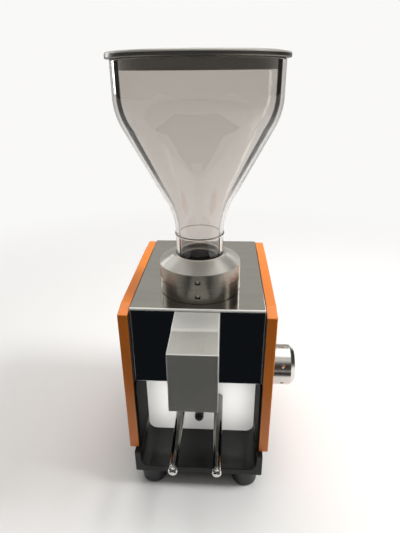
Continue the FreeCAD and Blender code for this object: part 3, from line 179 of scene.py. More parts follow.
# Painted highlights on edges, the bay's lamps, the room, the glass's painted dark line, the floor and the
# card
highlight_edge_width = 1.1 * MM
spout_highlight_width = 0.9 * MM
room_back = 0.34
room_top = 0.55
room_front = 0.04
bay_lamp_inset = 20.0 * MM
bay_lamp_rise = -8.0 * MM
bay_lamp_width = 14.0 * MM
bay_lamp_height = 74.0 * MM
bay_lamp_power = 0.0158
wall_line_start = 0.232
wall_line_end = 0.272
wall_line_soft = 0.008
floor_half = 6.0
floor_near = 0.28
floor_far = 0.95
floor_colour = (0.82, 0.815, 0.805, 1.0)
backdrop = (0.95, 0.945, 0.935, 1.0)
card_near = 0.12
card_far = 0.75
card_half = 0.40

# The photograph's view, from the fit of the box's corners
view_height = 533
focal_pixels = 424.61
eye = Vector((9.78, -355.16, 367.78)) * MM
view_yaw = math.radians(-3.52)
view_pitch = math.radians(24.57)
view_roll = math.radians(-0.54)
sensor_size = 36.0


# Shapes

def place_of(node):
    """Low and high corner and middle of a CAD node's box, in metres."""
    low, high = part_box(node)
    return low, high, np.array((low + high) / 2)


def centre_of(node):
    return place_of(node)[2]


def rounded(corners, radii, closed=True, steps=arc_steps):
    """Outline with rounded corners: each corner gives way to the arc that touches both its sides, a
    turn from the first touching point to the second about the arc's centre."""
    corners = np.asarray(corners, float)
    last = len(corners) - 1
    share = np.linspace(0, 1, steps + 1)[:, None]
    outline = []
    for i, (corner, radius) in enumerate(zip(corners, radii)):
        if radius <= 0 or (not closed and i in (0, last)):
            outline.append(corner[None])
            continue
        back = corners[i - 1] - corner
        ahead = corners[(i + 1) % (last + 1)] - corner
        back, ahead = back / np.linalg.norm(back), ahead / np.linalg.norm(ahead)
        half = np.arccos(np.clip(back @ ahead, -1, 1)) / 2
        middle = (back + ahead) / np.linalg.norm(back + ahead)
        centre = corner + middle * radius / np.sin(half)
        start = corner + back * radius / np.tan(half) - centre
        end = corner + ahead * radius / np.tan(half) - centre
        sweep = np.pi - 2 * half
        arc = (np.sin((1 - share) * sweep) * start + np.sin(share * sweep) * end) / np.sin(sweep)
        outline.append(centre + arc)
    return np.concatenate(outline)


def linked(name, data):
    """New object in the scene."""
    holder = bpy.data.objects.new(name, data)
    bpy.context.scene.collection.objects.link(holder)
    return holder


def grid_faces(rows, columns, wrap_rows, wrap_columns):
    """Quads of a grid of points numbered row by row, closed round in either direction."""
    i = np.arange(rows if wrap_rows else rows - 1)
    j = np.arange(columns if wrap_columns else columns - 1)
    low, left = np.meshgrid(i, j, indexing="ij")
    high, right = (low + 1) % rows, (left + 1) % columns
    quads = [low * columns + left, low * columns + right, high * columns + right, high * columns + left]
    return np.stack(quads, -1).reshape(-1, 4)


def piece_of(name, points, faces):
    """Object at the origin from points and faces, with doubles merged and faces turned outwards."""
    mesh = bpy.data.meshes.new(name)
    mesh.from_pydata(points.tolist(), [], faces)
    shape = bmesh.new()
    shape.from_mesh(mesh)
    bmesh.ops.remove_doubles(shape, verts=shape.verts, dist=0.001 * MM)
    bmesh.ops.dissolve_degenerate(shape, edges=shape.edges, dist=0.0005 * MM)
    bmesh.ops.recalc_face_normals(shape, faces=shape.faces)
    shape.to_mesh(mesh)
    shape.free()
    return linked(name, mesh)


def turned(name, profile, centre, axis="z", steps=turn_steps):
    """Surface of revolution about an axis through a centre: the point of a profile (radius, height) at
    an angle lies at radius times the angle's cosine and sine across the axis, and at its height
    along it. A profile that starts and ends on the axis closes itself, and any other is closed."""
    radius, height = np.asarray(profile, float).T
    angle = 2 * np.pi * np.arange(steps) / steps
    first = radius[:, None] * np.cos(angle)
    second = radius[:, None] * np.sin(angle)
    along = height[:, None] + 0 * angle
    order = {"z": (first, second, along), "x": (along, first, second), "y": (second, along, first)}
    across = np.array([letter != axis for letter in "xyz"])
    points = np.stack(order[axis], -1).reshape(-1, 3) + np.asarray(centre) * across
    ring = radius[0] > 0 or radius[-1] > 0
    return piece_of(name, points, grid_faces(len(radius), steps, ring, True).tolist())


def prism(name, outline, axis, low, high):
    """Outline carried straight along an axis from one level to another, closed by two end faces."""
    first, second = np.asarray(outline, float).T
    count = len(first)
    both_first, both_second = np.tile(first, 2), np.tile(second, 2)
    along = np.repeat([low, high], count)
    order = {"x": (along, both_first, both_second), "y": (both_first, along, both_second),
             "z": (both_first, both_second, along)}
    points = np.stack(order[axis], -1)
    sides = grid_faces(2, count, False, True).tolist()
    ends = [list(range(count)), list(range(2 * count - 1, count - 1, -1))]
    return piece_of(name, points, sides + ends)


def settle(piece):
    """Apply a piece's modifiers to its mesh."""
    bpy.context.view_layer.update()
    graph = bpy.context.evaluated_depsgraph_get()
    mesh = bpy.data.meshes.new_from_object(piece.evaluated_get(graph), depsgraph=graph)
    piece.modifiers.clear()
    piece.data = mesh
    mesh.name = piece.name
    return piece


def cut(piece, cutters):
    """Take the solids of the cutters away from a piece."""
    for cutter in cutters:
        step = piece.modifiers.new("cut", "BOOLEAN")
        step.operation = "DIFFERENCE"
        step.solver = "EXACT"
        step.object = cutter
    settle(piece)
    for cutter in cutters:
        bpy.data.objects.remove(cutter)
    return piece


def eased(piece, width, segments=3):
    """Round a piece's sharp edges by a small width."""
    step = piece.modifiers.new("ease", "BEVEL")
    step.width = width
    step.segments = segments
    step.limit_method = "ANGLE"
    step.angle_limit = math.radians(40)
    return settle(piece)


def joined(name, pieces):
    """One object from several that share a material."""
    shape = bmesh.new()
    for piece in pieces:
        shape.from_mesh(piece.data)
        bpy.data.objects.remove(piece)
    mesh = bpy.data.meshes.new(name)
    shape.to_mesh(mesh)
    shape.free()
    return linked(name, mesh)


def dressed(piece, material, body, slot, *nodes):
    """Shade a piece smooth between its sharp edges, give it its material, hang it on its body and hide the
    CAD nodes it replaces.
    """
    mesh = piece.data
    mesh.polygons.foreach_set("use_smooth", np.ones(len(mesh.polygons), bool))
    mesh.set_sharp_from_angle(angle=smooth_angle)
    step = piece.modifiers.new("flats", "WEIGHTED_NORMAL")
    step.keep_sharp = True
    settle(piece)
    piece.data.materials.clear()
    piece.data.materials.append(material)
    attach(piece, body)
    if nodes:
        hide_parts(*nodes)
    return piece


# Materials

class Value:
    """A shader socket with arithmetic: each operator adds one Math node."""

    def __init__(self, recipe, socket):
        self.recipe = recipe
        self.socket = socket

    def maths(self, operation, *values):
        return self.recipe.node("ShaderNodeMath", {"operation": operation}, dict(enumerate(values)))

    def __add__(self, other):
        return self.maths("ADD", self, other)

    def __sub__(self, other):
        return self.maths("SUBTRACT", self, other)

    def __rsub__(self, other):
        return self.maths("SUBTRACT", other, self)

    def __mul__(self, other):
        return self.maths("MULTIPLY", self, other)

    def __truediv__(self, other):
        return self.maths("DIVIDE", self, other)

    __radd__ = __add__
    __rmul__ = __mul__

    def root(self):
        return self.maths("SQRT", self)

    def size(self):
        """The value without its sign."""
        return self.maths("ABSOLUTE", self)

    def between(self, low, high):
        """0 below low, 1 above high, and an even smooth rise between them."""
        settings = {"interpolation_type": "SMOOTHSTEP"}
        return self.recipe.node("ShaderNodeMapRange", settings,
                                {"Value": self, "From Min": low, "From Max": high})


class Recipe:
    """Node tree of a material or of the world. node() adds a node, sets its settings and then its
    sockets, and gives its first output or the one asked for."""

    def __init__(self, owner):
        self.owner = owner
        owner.use_nodes = True
        self.tree = owner.node_tree
        self.tree.nodes.clear()

    def node(self, kind, settings=None, inputs=None, output=0):
        made = self.tree.nodes.new(kind)
        for key, setting in (settings or {}).items():
            setattr(made, key, setting)
        for key, value in (inputs or {}).items():
            if isinstance(value, Value):
                self.tree.links.new(value.socket, made.inputs[key])
            else:
                made.inputs[key].default_value = value
        return Value(self, made.outputs[output]) if made.outputs else made

    def place(self):
        return self.node("ShaderNodeTexCoord", output="Object")

    def axes(self, vector):
        parts = self.node("ShaderNodeSeparateXYZ", inputs={0: vector}).socket.node
        return [Value(self, parts.outputs[i]) for i in range(3)]

    def noise(self, vector, scale, detail=2.0, roughness=0.5):
        return self.node("ShaderNodeTexNoise",
                         inputs={"Vector": vector, "Scale": scale, "Detail": detail, "Roughness": roughness})

    def stretched(self, vector, scale):
        return self.node("ShaderNodeMapping", inputs={"Vector": vector, "Scale": scale})

    def seen_directly(self):
        """1 for the eye's own rays and those through glass, and 0 for reflections and matt light."""
        rays = self.node("ShaderNodeLightPath").socket.node
        kinds = ("Is Camera Ray", "Is Transmission Ray")
        return self.greatest(*[Value(self, rays.outputs[kind]) for kind in kinds])

    def greatest(self, first, second):
        return self.node("ShaderNodeMath", {"operation": "MAXIMUM"}, {0: first, 1: second})

    def mixed(self, share, first, second):
        settings = {"data_type": "RGBA"}
        return self.node("ShaderNodeMix", settings, {"Factor": share, 6: first, 7: second}, output=2)

    def bump(self, height, strength, distance):
        return self.node("ShaderNodeBump",
                         inputs={"Height": height, "Strength": strength, "Distance": distance})

    def principled(self, **sockets):
        inputs = {key.replace("_", " "): value for key, value in sockets.items()}
        return self.node("ShaderNodeBsdfPrincipled", inputs=inputs)

    def blend(self, share, first, second):
        return self.node("ShaderNodeMixShader", inputs={0: share, 1: first, 2: second})

    def surface(self, shader):
        """End the material with a shader, and give the material."""
        self.node("ShaderNodeOutputMaterial", inputs={"Surface": shader})
        return self.owner

    def finished(self, **sockets):
        """End the material with one principled shader, and give the material."""
        return self.surface(self.principled(**sockets))


def shade(red, green, blue):
    """Linear colour with alpha from values as they look on a screen, 0 to 255."""
    seen = np.array([red, green, blue]) / 255
    linear = np.where(seen <= 0.04045, seen / 12.92, ((seen + 0.055) / 1.055) ** 2.4)
    return (*linear.tolist(), 1.0)


def darker(colour, share):
    """A colour's share, with its alpha left whole."""
    return tuple(share * part for part in colour[:3]) + (1.0,)


def started(name):
    """Recipe of a new material, and its object coordinates."""
    recipe = Recipe(bpy.data.materials.new(name))
    return recipe, recipe.place()


def orange_lacquer():
    """Sprayed lacquer: even colour with a slow drift, a faint orange-peel and a clear gloss. The
    panels' inner faces are painted dark brown, a painted shade for the gap beside the bay."""
    left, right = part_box("side_panel_left")[1].x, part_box("side_panel_right")[0].x
    r, place = started("orange_lacquer")
    drift = r.noise(place, 14.0, 3.0)
    peel = r.noise(place, 900.0, 1.0)
    specks = r.noise(place, 2600.0, 0.0).between(0.70, 0.78)
    colour = r.mixed(drift.between(0.3, 0.7), shade(238, 133, 35), shade(230, 124, 29))
    colour = r.mixed(specks * 0.12, colour, shade(250, 190, 130))
    # Painted shade: the inner faces, beside the bay, get a dark brown in place of the orange.
    away = (r.axes(place)[0] - (left + right) / 2).size()
    inner = 1.0 - away.between((right - left) / 2 + 0.2 * MM, (right - left) / 2 + 0.5 * MM)
    return r.finished(Base_Color=r.mixed(inner, colour, shade(46, 28, 18)), Roughness=0.36 + drift * 0.10,
                      Normal=r.bump(peel, 0.12, 0.02 * MM), Coat_Weight=0.35, Coat_Roughness=0.18,
                      Specular_IOR_Level=0.4)


def black_enamel():
    """Black stoved enamel: nearly black, slightly uneven gloss, fine grain."""
    r, place = started("black_enamel")
    cloud = r.noise(place, 22.0, 4.0)
    grain = r.noise(place, 1400.0, 2.0)
    dust = r.noise(place, 3200.0, 0.0).between(0.72, 0.80)
    colour = r.mixed(cloud, shade(14, 14, 15), shade(22, 22, 21))
    return r.finished(Base_Color=r.mixed(dust * 0.10, colour, shade(120, 118, 112)),
                      Roughness=0.22 + cloud * 0.16, Normal=r.bump(grain, 0.10, 0.02 * MM),
                      Specular_IOR_Level=0.35)


def polished(name, colour, rough, smear, grain_scale, grain, edges):
    """Polished sheet metal: clear reflections, wiped smears in the gloss and hairline grain. Its broken
    edges carry a pale satin band, a painted highlight: each is given as an axis, a level, the way out and a
    width."""
    r, place = started(name)
    wiped = r.noise(r.stretched(place, (3.0, 9.0, 9.0)), 6.0, 4.0, 0.6)
    fine = r.noise(r.stretched(place, grain_scale), 60.0, 3.0)
    tint = r.mixed(wiped.between(0.35, 0.75), colour, darker(colour, 0.93))
    axes = r.axes(place)
    # Painted highlight: a pale, less metallic band along each given edge.
    edge = 0.0
    for axis, level, way, width in edges:
        edge = r.greatest(edge, ((axes[axis] - level) * way).between(-width, -0.6 * width))
    return r.finished(Base_Color=r.mixed(edge, tint, shade(244, 243, 238)),
                      Roughness=rough + wiped.between(0.45, 0.8) * smear + edge * 0.3,
                      Metallic=1.0 - edge * 0.75, Normal=r.bump(fine, grain, 0.01 * MM))


def satin_aluminium():
    """Bead-blasted aluminium: soft, even sheen with a faint mottle, a painted highlight along the
    edges where two outer faces of the spout meet, and a duller saddle."""
    low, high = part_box("spout_housing")
    r, place = started("satin_aluminium")
    x, y, z = r.axes(place)
    mottle = r.noise(place, 60.0, 4.0, 0.6)
    beads = r.noise(place, 1900.0, 1.0)
    scuffs = r.noise(r.stretched(place, (40.0, 6.0, 40.0)), 9.0, 3.0)
    # Painted highlight: a near-white, less metallic band where two outer faces of the spout meet.
    side = (x - (low.x + high.x) / 2).size().between((high.x - low.x) / 2 - spout_highlight_width, (high.x - low.x) / 2)
    front = (low.y - y).between(-spout_highlight_width, 0.0)
    top = (z - high.z + spout_saddle_rise).between(-spout_highlight_width, 0.0)
    wear_and_highlight = r.greatest(side * front, r.greatest(side * top, front * top)).between(0.05, 0.5)
    saddle = (z - high.z).between(-0.6 * MM, -0.2 * MM)
    colour = r.mixed(mottle, shade(228, 227, 221), shade(214, 213, 206))
    colour = r.mixed(scuffs.between(0.6, 0.8) * 0.3, colour, shade(190, 189, 182))
    return r.finished(Base_Color=r.mixed(wear_and_highlight, colour, shade(248, 247, 243)),
                      Roughness=0.38 + mottle * 0.10 + wear_and_highlight * 0.1,
                      Metallic=0.8 - r.greatest(wear_and_highlight * 0.35, saddle * 0.3),
                      Normal=r.bump(beads, 0.16, 0.02 * MM))


def lathe_finish(name, axis_node, axis, colour, rough, groove, brushed=0.0, painted_shade_radius=0.0, painted_light_above=None,
                 painted_light_colour=None, matt=0.0, painted_shade_below=None):
    """Metal off the lathe: fine and broad rings about the piece's own axis, and a faint stain. Inside
    a given radius it is painted near black, a painted shade in the hollow; above a level it is paler
    and partly matt, painted light on the top; and below another it is darker, a painted shade under the top."""
    middle = centre_of(axis_node)
    r, place = started(name)
    x, y, z = r.axes(place)
    ways = {"z": (x - middle[0], y - middle[1], z), "x": (y - middle[1], z - middle[2], x)}
    first, second, along = ways[axis]
    radius = (first * first + second * second).root()

    def rings(scale, detail):
        return r.node("ShaderNodeTexNoise", {"noise_dimensions": "1D"},
                      {"W": (radius + along) * scale, "Scale": 1.0, "Detail": detail})

    ring, broad = rings(2400.0, 2.0), rings(260.0, 1.0)
    stain = r.noise(place, 90.0, 3.0)
    tint = r.mixed(broad * 0.6 + stain * 0.4, colour, darker(colour, 0.86))
    gloss = rough + ring * 0.10 + stain * 0.05
    metallic = 1.0
    # Painted light: above the level the metal is paler and less metallic.
    if painted_light_above:
        pale = z.between(painted_light_above - 0.1 * MM, painted_light_above + 0.1 * MM)
        tint = r.mixed(pale, tint, painted_light_colour)
        gloss = gloss + pale * 0.08
        metallic = 1.0 - pale * matt
    # Painted shade: below the level the metal is darker.
    if painted_shade_below:
        painted_shade = 1.0 - z.between(painted_shade_below - 0.1 * MM, painted_shade_below)
        tint = r.mixed(painted_shade, tint, darker(colour, 0.45))
    # Painted shade: near black inside the radius, in the seat and throat.
    if painted_shade_radius:
        inside = 1.0 - radius.between(painted_shade_radius - 0.15 * MM, painted_shade_radius)
        tint = r.mixed(inside, tint, shade(24, 22, 20))
        gloss = gloss + inside * 0.25
    return r.finished(Base_Color=tint, Roughness=gloss, Metallic=metallic,
                      Normal=r.bump(ring, groove, 0.01 * MM), Anisotropic=brushed, Anisotropic_Rotation=0.25)


def chrome():
    """Chrome with slight wear marks in the gloss: a painted shade of dark grey on the rods, and a painted
    highlight on their pale heads.
    """
    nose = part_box("fork_rod_left")[0].y + rod_head_length + rod_neck_length
    r, place = started("chrome_rod")
    wear_and_highlight = r.noise(r.stretched(place, (9.0, 1.0, 9.0)), 60.0, 3.0)
    # Painted highlight on the heads, and painted shade on the rods behind them.
    head = 1.0 - r.axes(place)[1].between(nose - 0.5 * MM, nose + 3.0 * MM)
    painted_shade = r.mixed(wear_and_highlight, shade(150, 148, 144), shade(124, 122, 118))
    return r.finished(Base_Color=r.mixed(head, painted_shade, shade(232, 231, 228)),
                      Roughness=0.05 + wear_and_highlight.between(0.5, 0.8) * 0.10 + head * 0.16, Metallic=1.0)


def clear_glass():
    """Thick blown glass with a warm grey body, a little paler towards the neck, and a thin film left
    by beans; the grey body is painted and stands in for the grey room seen through the glass. Where
    a ray grazes the inner wall from within the glass, a painted dark line stands in for dark surroundings
    seen there, less so where the funnel narrows."""
    low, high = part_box("hopper_glass")
    r, place = started("clear_glass")
    _, _, z = r.axes(place)
    film = r.noise(place, 30.0, 4.0, 0.6)
    # Painted: the warm grey, darker towards the top, stands in for the grey room seen through the glass.
    body = r.mixed(z.between(low.z, high.z), (0.80, 0.765, 0.74, 1.0), (0.65, 0.622, 0.592, 1.0))
    body = r.mixed(film * 0.2, body, (0.72, 0.70, 0.66, 1.0))
    clear = r.principled(Base_Color=body, Roughness=film.between(0.5, 0.9) * 0.02,
                         Transmission_Weight=1.0, IOR=1.47)
    # Painted dark line on the inner wall where rays graze it, standing in for dark surroundings seen in the
    # glass.
    dark = r.principled(Base_Color=shade(26, 22, 18), Roughness=0.5)
    inner = r.axes(r.node("ShaderNodeUVMap", {"uv_map": "wall"}))[0]
    within = r.node("ShaderNodeNewGeometry", output="Backfacing")
    grazing = r.node("ShaderNodeLayerWeight", inputs={"Blend": 0.5}, output="Facing")
    line = grazing.between(wall_line_start, wall_line_start + wall_line_soft)
    line = line * (1.0 - grazing.between(wall_line_end - wall_line_soft, wall_line_end))
    height = (z - low.z) / (high.z - low.z)
    strength = r.greatest(0.2 + height.between(0.28, 0.6) * 0.8, 1.0 - height.between(0.12, 0.2))
    return r.surface(r.blend(line * strength * within * inner, clear, dark))


def rubber():
    """Moulded black rubber with a dry surface."""
    r, place = started("foot_rubber")
    pores = r.noise(place, 1500.0, 2.0)
    bloom = r.noise(place, 50.0, 3.0)
    return r.finished(Base_Color=r.mixed(bloom, shade(24, 24, 25), shade(42, 42, 44)),
                      Roughness=0.34 + bloom * 0.14, Normal=r.bump(pores, 0.12, 0.02 * MM))


def moulded(name, light, dark, rough, **constants):
    """Moulded plastic or matt paint with a fine eroded texture."""
    r, place = started(name)
    texture = r.noise(place, 1100.0, 2.0)
    drift = r.noise(place, 40.0, 2.0)
    return r.finished(Base_Color=r.mixed(drift, dark, light), Roughness=rough + texture * 0.12,
                      Normal=r.bump(texture, 0.15, 0.02 * MM), **constants)


def plain_metal(name, light, dark, rough, grain, scale):
    """Metal of a small or inner piece: two tones in patches, with grain."""
    r, place = started(name)
    patch = r.noise(place, scale, 4.0, 0.6)
    fine = r.noise(place, scale * 14.0, 2.0)
    return r.finished(Base_Color=r.mixed(patch, dark, light), Roughness=rough + patch * 0.15,
                      Normal=r.bump(fine, grain, 0.05 * MM), Metallic=1.0)


def pale_sheet():
    """Pale satin sheet at the back of the bay, wiped clean, with a faint cloud."""
    r, place = started("bay_sheet")
    cloud = r.noise(place, 18.0, 4.0)
    grain = r.noise(r.stretched(place, (1.0, 1.0, 14.0)), 160.0, 2.0)
    return r.finished(Base_Color=r.mixed(cloud, shade(250, 249, 246), shade(242, 241, 237)),
                      Roughness=0.34 + cloud * 0.10, Normal=r.bump(grain, 0.05, 0.02 * MM), Metallic=0.1)


enamel = black_enamel()
lacquer = orange_lacquer()
plate_low, plate_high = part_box("front_plate")
sheet_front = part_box("top_plate")[0].y
# Painted highlights along the front plate's sides and foot, and along the top sheet's bent front edge.
mirror = polished("mirror_steel", shade(206, 208, 211), 0.03, 0.05, (30.0, 1.0, 1.0), 0.02,
                  [(0, plate_low.x, -1, highlight_edge_width), (0, plate_high.x, 1, highlight_edge_width),
                   (2, plate_low.z, -1, highlight_edge_width)])
brushed_top = polished("polished_steel", shade(224, 221, 212), 0.05, 0.05, (1.0, 30.0, 30.0), 0.02,
                       [(1, sheet_front, -1, sheet_bend)])
satin = satin_aluminium()
chromed = chrome()
glass = clear_glass()
foot_rubber = rubber()
bay_sheet = pale_sheet()
black_plastic = moulded("black_plastic", shade(30, 30, 31), shade(20, 20, 21), 0.32)
matt_black = moulded("matt_black", shade(20, 19, 18), shade(14, 13, 13), 0.62, Specular_IOR_Level=0.1)
grey_plastic = moulded("grey_plastic", shade(150, 150, 148), shade(134, 134, 133), 0.42)
zinc = plain_metal("zinc_screws", shade(205, 205, 200), shade(176, 176, 172), 0.28, 0.10, 90.0)
plated = plain_metal("plated_steel", shade(188, 188, 184), shade(160, 160, 158), 0.34, 0.10, 60.0)
cast = plain_metal("cast_aluminium", shade(186, 186, 182), shade(160, 160, 157), 0.46, 0.30, 70.0)
# Painted shade: the burrs, their carrier and nut are near black so the throat below the hopper reads dark.
burr_steel = plain_metal("burr_steel", shade(40, 38, 35), shade(27, 25, 23), 0.55, 0.12, 120.0)
ground_steel = plain_metal("ground_steel", shade(196, 196, 196), shade(172, 172, 172), 0.22, 0.06, 140.0)
bronze = plain_metal("bronze", shade(196, 150, 84), shade(168, 122, 62), 0.34, 0.10, 80.0)
motor_iron = plain_metal("motor_iron", shade(120, 120, 122), shade(86, 86, 90), 0.42, 0.15, 60.0)
# The collar's cone is paler as painted light, and its seat and throat are near black as painted shade.
collar_metal = lathe_finish("turned_collar", "collar_lower", "z", shade(172, 168, 159), 0.22, 0.16, 0.75,
                            hopper_seat_radius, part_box("collar_upper")[1].z - collar_cone_height,
                            shade(222, 219, 211), 0.08)
knob_metal = lathe_finish("turned_knob", "adjuster_knob", "x", shade(226, 224, 218), 0.16, 0.12)
lid_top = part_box("hopper_lid")[1].z
# The lid's top is pale as a painted highlight, and its plug below is darker as painted shade.
lid_metal = lathe_finish("spun_lid", "hopper_lid", "z", shade(128, 125, 119), 0.26, 0.08, 0.6,
                         painted_light_above=lid_top - lid_pale, painted_light_colour=shade(196, 193, 186), matt=0.5,
                         painted_shade_below=lid_top - lid_thick - 0.1 * MM)


# Hopper and lid

def funnel_corner(radius, offset, foot):
    """Height where the funnel's cone, moved in by an offset, meets an upright wall of a radius."""
    corner = foot + neck_height + funnel_lower_round * math.tan(funnel_half_angle / 2)
    shift = offset / math.cos(funnel_half_angle)
    return corner + (radius - neck_radius + shift) / math.tan(funnel_half_angle)


def mark_inner_wall(piece, outer, centre):
    """UV map whose first number is 1 on the hopper's inner wall and 0 on its outer one: a point is
    inside when its radius falls short of the outer line's radius at its height by half the wall."""
    mesh = piece.data
    points = np.empty(3 * len(mesh.vertices))
    mesh.vertices.foreach_get("co", points)
    x, y, z = points.reshape(-1, 3).T
    radius = np.hypot(x - centre[0], y - centre[1])
    inside = radius < np.interp(z, outer[:, 1], outer[:, 0]) - glass_thick / 2
    corners = np.empty(len(mesh.loops), np.int32)
    mesh.loops.foreach_get("vertex_index", corners)
    wall = np.stack([inside[corners], 0.5 + 0 * corners], -1).astype(np.float32)
    mesh.uv_layers.new(name="wall").data.foreach_set("uv", wall.ravel())


def hopper_glass():
    """Blown hopper: a wall between an outer and an inner line, each an upright neck, a cone and an
    upright top joined by arcs, turned about the collar's axis. A half-round bead rings the neck."""
    low, high, centre = place_of("hopper_glass")
    top_radius = (high.x - low.x) / 2
    foot, rim = low.z, high.z
    inner_neck, inner_top = neck_radius - glass_thick, top_radius - glass_thick
    bead_centre = (neck_radius - bead_radius / 2, foot + neck_height)
    angle = np.linspace(-np.pi / 3, np.pi / 3, 2 * arc_steps + 1)
    bead = np.stack([bead_centre[0] + bead_radius * np.cos(angle),
                     bead_centre[1] + bead_radius * np.sin(angle)], -1)
    outside = rounded([(neck_radius - foot_lip_round, foot), (neck_radius, foot),
                       (neck_radius, bead[0, 1])], [0, foot_lip_round, 0], closed=False)
    funnel = rounded([(neck_radius, bead[-1, 1]), (neck_radius, funnel_corner(neck_radius, 0, foot)),
                      (top_radius, funnel_corner(top_radius, 0, foot)), (top_radius, rim),
                      (inner_top, rim), (inner_top, funnel_corner(inner_top, glass_thick, foot)),
                      (inner_neck, funnel_corner(inner_neck, glass_thick, foot)), (inner_neck, foot),
                      (neck_radius - foot_lip_round, foot)],
                     [0, funnel_lower_round, funnel_upper_round, glass_lip_round, glass_lip_round,
                      funnel_upper_round - glass_thick, funnel_lower_round + glass_thick,
                      foot_lip_round, 0], closed=False, steps=2 * arc_steps)
    profile = np.concatenate([outside[:-1], bead, funnel[1:-1]])
    piece = turned("hopper_bowl", profile, centre)
    outer = rounded([(neck_radius, foot), (neck_radius, funnel_corner(neck_radius, 0, foot)),
                     (top_radius, funnel_corner(top_radius, 0, foot)), (top_radius, rim)],
                    [0, funnel_lower_round, funnel_upper_round, 0], closed=False, steps=2 * arc_steps)
    mark_inner_wall(piece, outer, centre)
    return dressed(piece, glass, "hopper", "clear_glass", "hopper_glass")


def hopper_lid():
    """Spun lid: a flat dished top with a rolled edge and a hollow plug below, turned about the
    hopper's axis."""
    low, high, centre = place_of("hopper_lid")
    radius = (high.x - low.x) / 2
    rest, top = high.z - lid_thick, high.z
    under = top - lid_wall - lid_dish_depth
    bore = lid_skirt_radius - lid_wall
    profile = rounded([(0, under), (bore, under), (bore, low.z), (lid_skirt_radius, low.z),
                       (lid_skirt_radius, rest), (radius, rest), (radius, top), (lid_dish_radius, top),
                       (lid_dish_radius - lid_dish_depth, top - lid_dish_depth), (0, top - lid_dish_depth)],
                      [0, 1.5 * lid_wall, lid_skirt_round, lid_skirt_round, lid_skirt_round,
                       lid_skirt_round, lid_edge_round, lid_skirt_round, lid_skirt_round, 0], closed=False)
    piece = turned("lid_cover", profile, centre)
    return dressed(piece, lid_metal, "lid", "satin_aluminium", "hopper_lid")


# Collar

def pins_round(count, profile, along, steps, about, place, first=0.0):
    """Turned pins that cut a ring of holes: each is made along one axis, turned about another by its
    share of a full turn, and moved into place."""
    pins = []
    for i in range(count):
        pin = turned("pin", profile, (0, 0, 0), along, steps)
        turn = Matrix.Rotation(2 * math.pi * i / count + first, 4, about)
        pin.data.transform(Matrix.Translation(place) @ turn)
        pins.append(pin)
    return pins


def tommy_cutters(centre, radius, level):
    """Countersunk blind holes round a ring."""
    start, end = radius - tommy_depth, radius + overrun
    profile = [(0, start), (tommy_radius, start), (tommy_radius, radius - countersink),
               (tommy_radius + countersink + overrun, end), (0, end)]
    return pins_round(tommy_count, profile, "x", 48, "Z", (centre[0], centre[1], level), math.pi / 2)


def collar_lower():
    """Lower ring: an upright tube with an undercut foot, broken edges and four side holes."""
    low, high, centre = place_of("collar_lower")
    radius = (high.x - low.x) / 2
    foot = radius - collar_foot_step
    profile = rounded([(collar_bore, low.z), (foot, low.z), (foot, low.z + collar_foot_height),
                       (radius, low.z + collar_foot_height), (radius, high.z - collar_groove),
                       (radius - collar_groove, high.z), (collar_bore, high.z)],
                      [0, 0, 0, collar_edge_round, 0, 0, 0], steps=3)
    piece = turned("collar_ring_lower", profile, centre, steps=2 * turn_steps)
    cut(piece, tommy_cutters(centre, radius, (low.z + high.z) / 2))
    return dressed(piece, collar_metal, "body", "turned_aluminium", "collar_lower")


def collar_upper():
    """Upper ring: an upright band, a cone to a narrow rim, the hopper's seat and the throat."""
    low, high, centre = place_of("collar_upper")
    radius = (high.x - low.x) / 2
    cone = high.z - collar_cone_height
    seat, carrier = high.z - hopper_seat_depth, low.z + carrier_rise
    profile = rounded([(collar_bore, low.z), (radius - collar_groove, low.z), (radius, low.z + collar_groove),
                       (radius, cone), (collar_rim_radius, high.z), (hopper_seat_radius, high.z),
                       (hopper_seat_radius, seat), (throat_radius, seat), (throat_radius, carrier),
                       (collar_bore, carrier)],
                      [0, 0, 0, collar_edge_round, collar_edge_round, collar_edge_round, 0, 0, 0, 0], steps=4)
    piece = turned("collar_ring_upper", profile, centre, steps=2 * turn_steps)
    cut(piece, tommy_cutters(centre, radius, (low.z + cone) / 2))
    return dressed(piece, collar_metal, "body", "turned_aluminium", "collar_upper")


# Knob, fork and button

def adjuster_knob():
    """Turned knob: a drum with a bevelled end, a shallow recess and a ring of drilled dimples."""
    low, high, centre = place_of("adjuster_knob")
    radius, face, end = (high.z - low.z) / 2, low.x, high.x
    profile = rounded([(0, face + knob_bore_depth), (knob_bore_radius, face + knob_bore_depth),
                       (knob_bore_radius, face), (radius, face), (radius, end - knob_bevel),
                       (radius - knob_bevel_drop, end), (knob_recess_radius, end),
                       (knob_recess_radius - knob_recess_depth, end - knob_recess_depth),
                       (0, end - knob_recess_depth)],
                      [0, 0, 0, knob_edge_round, knob_edge_round, knob_edge_round, knob_edge_round / 2,
                       knob_edge_round, 0], closed=False, steps=4)
    piece = turned("adjuster_drum", profile, centre, "x", steps=2 * turn_steps)
    pin = [(0, radius - dimple_depth - dimple_radius / 2), (dimple_radius, radius - dimple_depth),
           (dimple_radius, radius - countersink), (dimple_radius + countersink + overrun, radius + overrun),
           (0, radius + overrun)]
    cut(piece, pins_round(dimple_count, pin, "z", 40, "X", (face + dimple_x, centre[1], centre[2])))
    return dressed(piece, knob_metal, "adjuster", "turned_aluminium", "adjuster_knob")


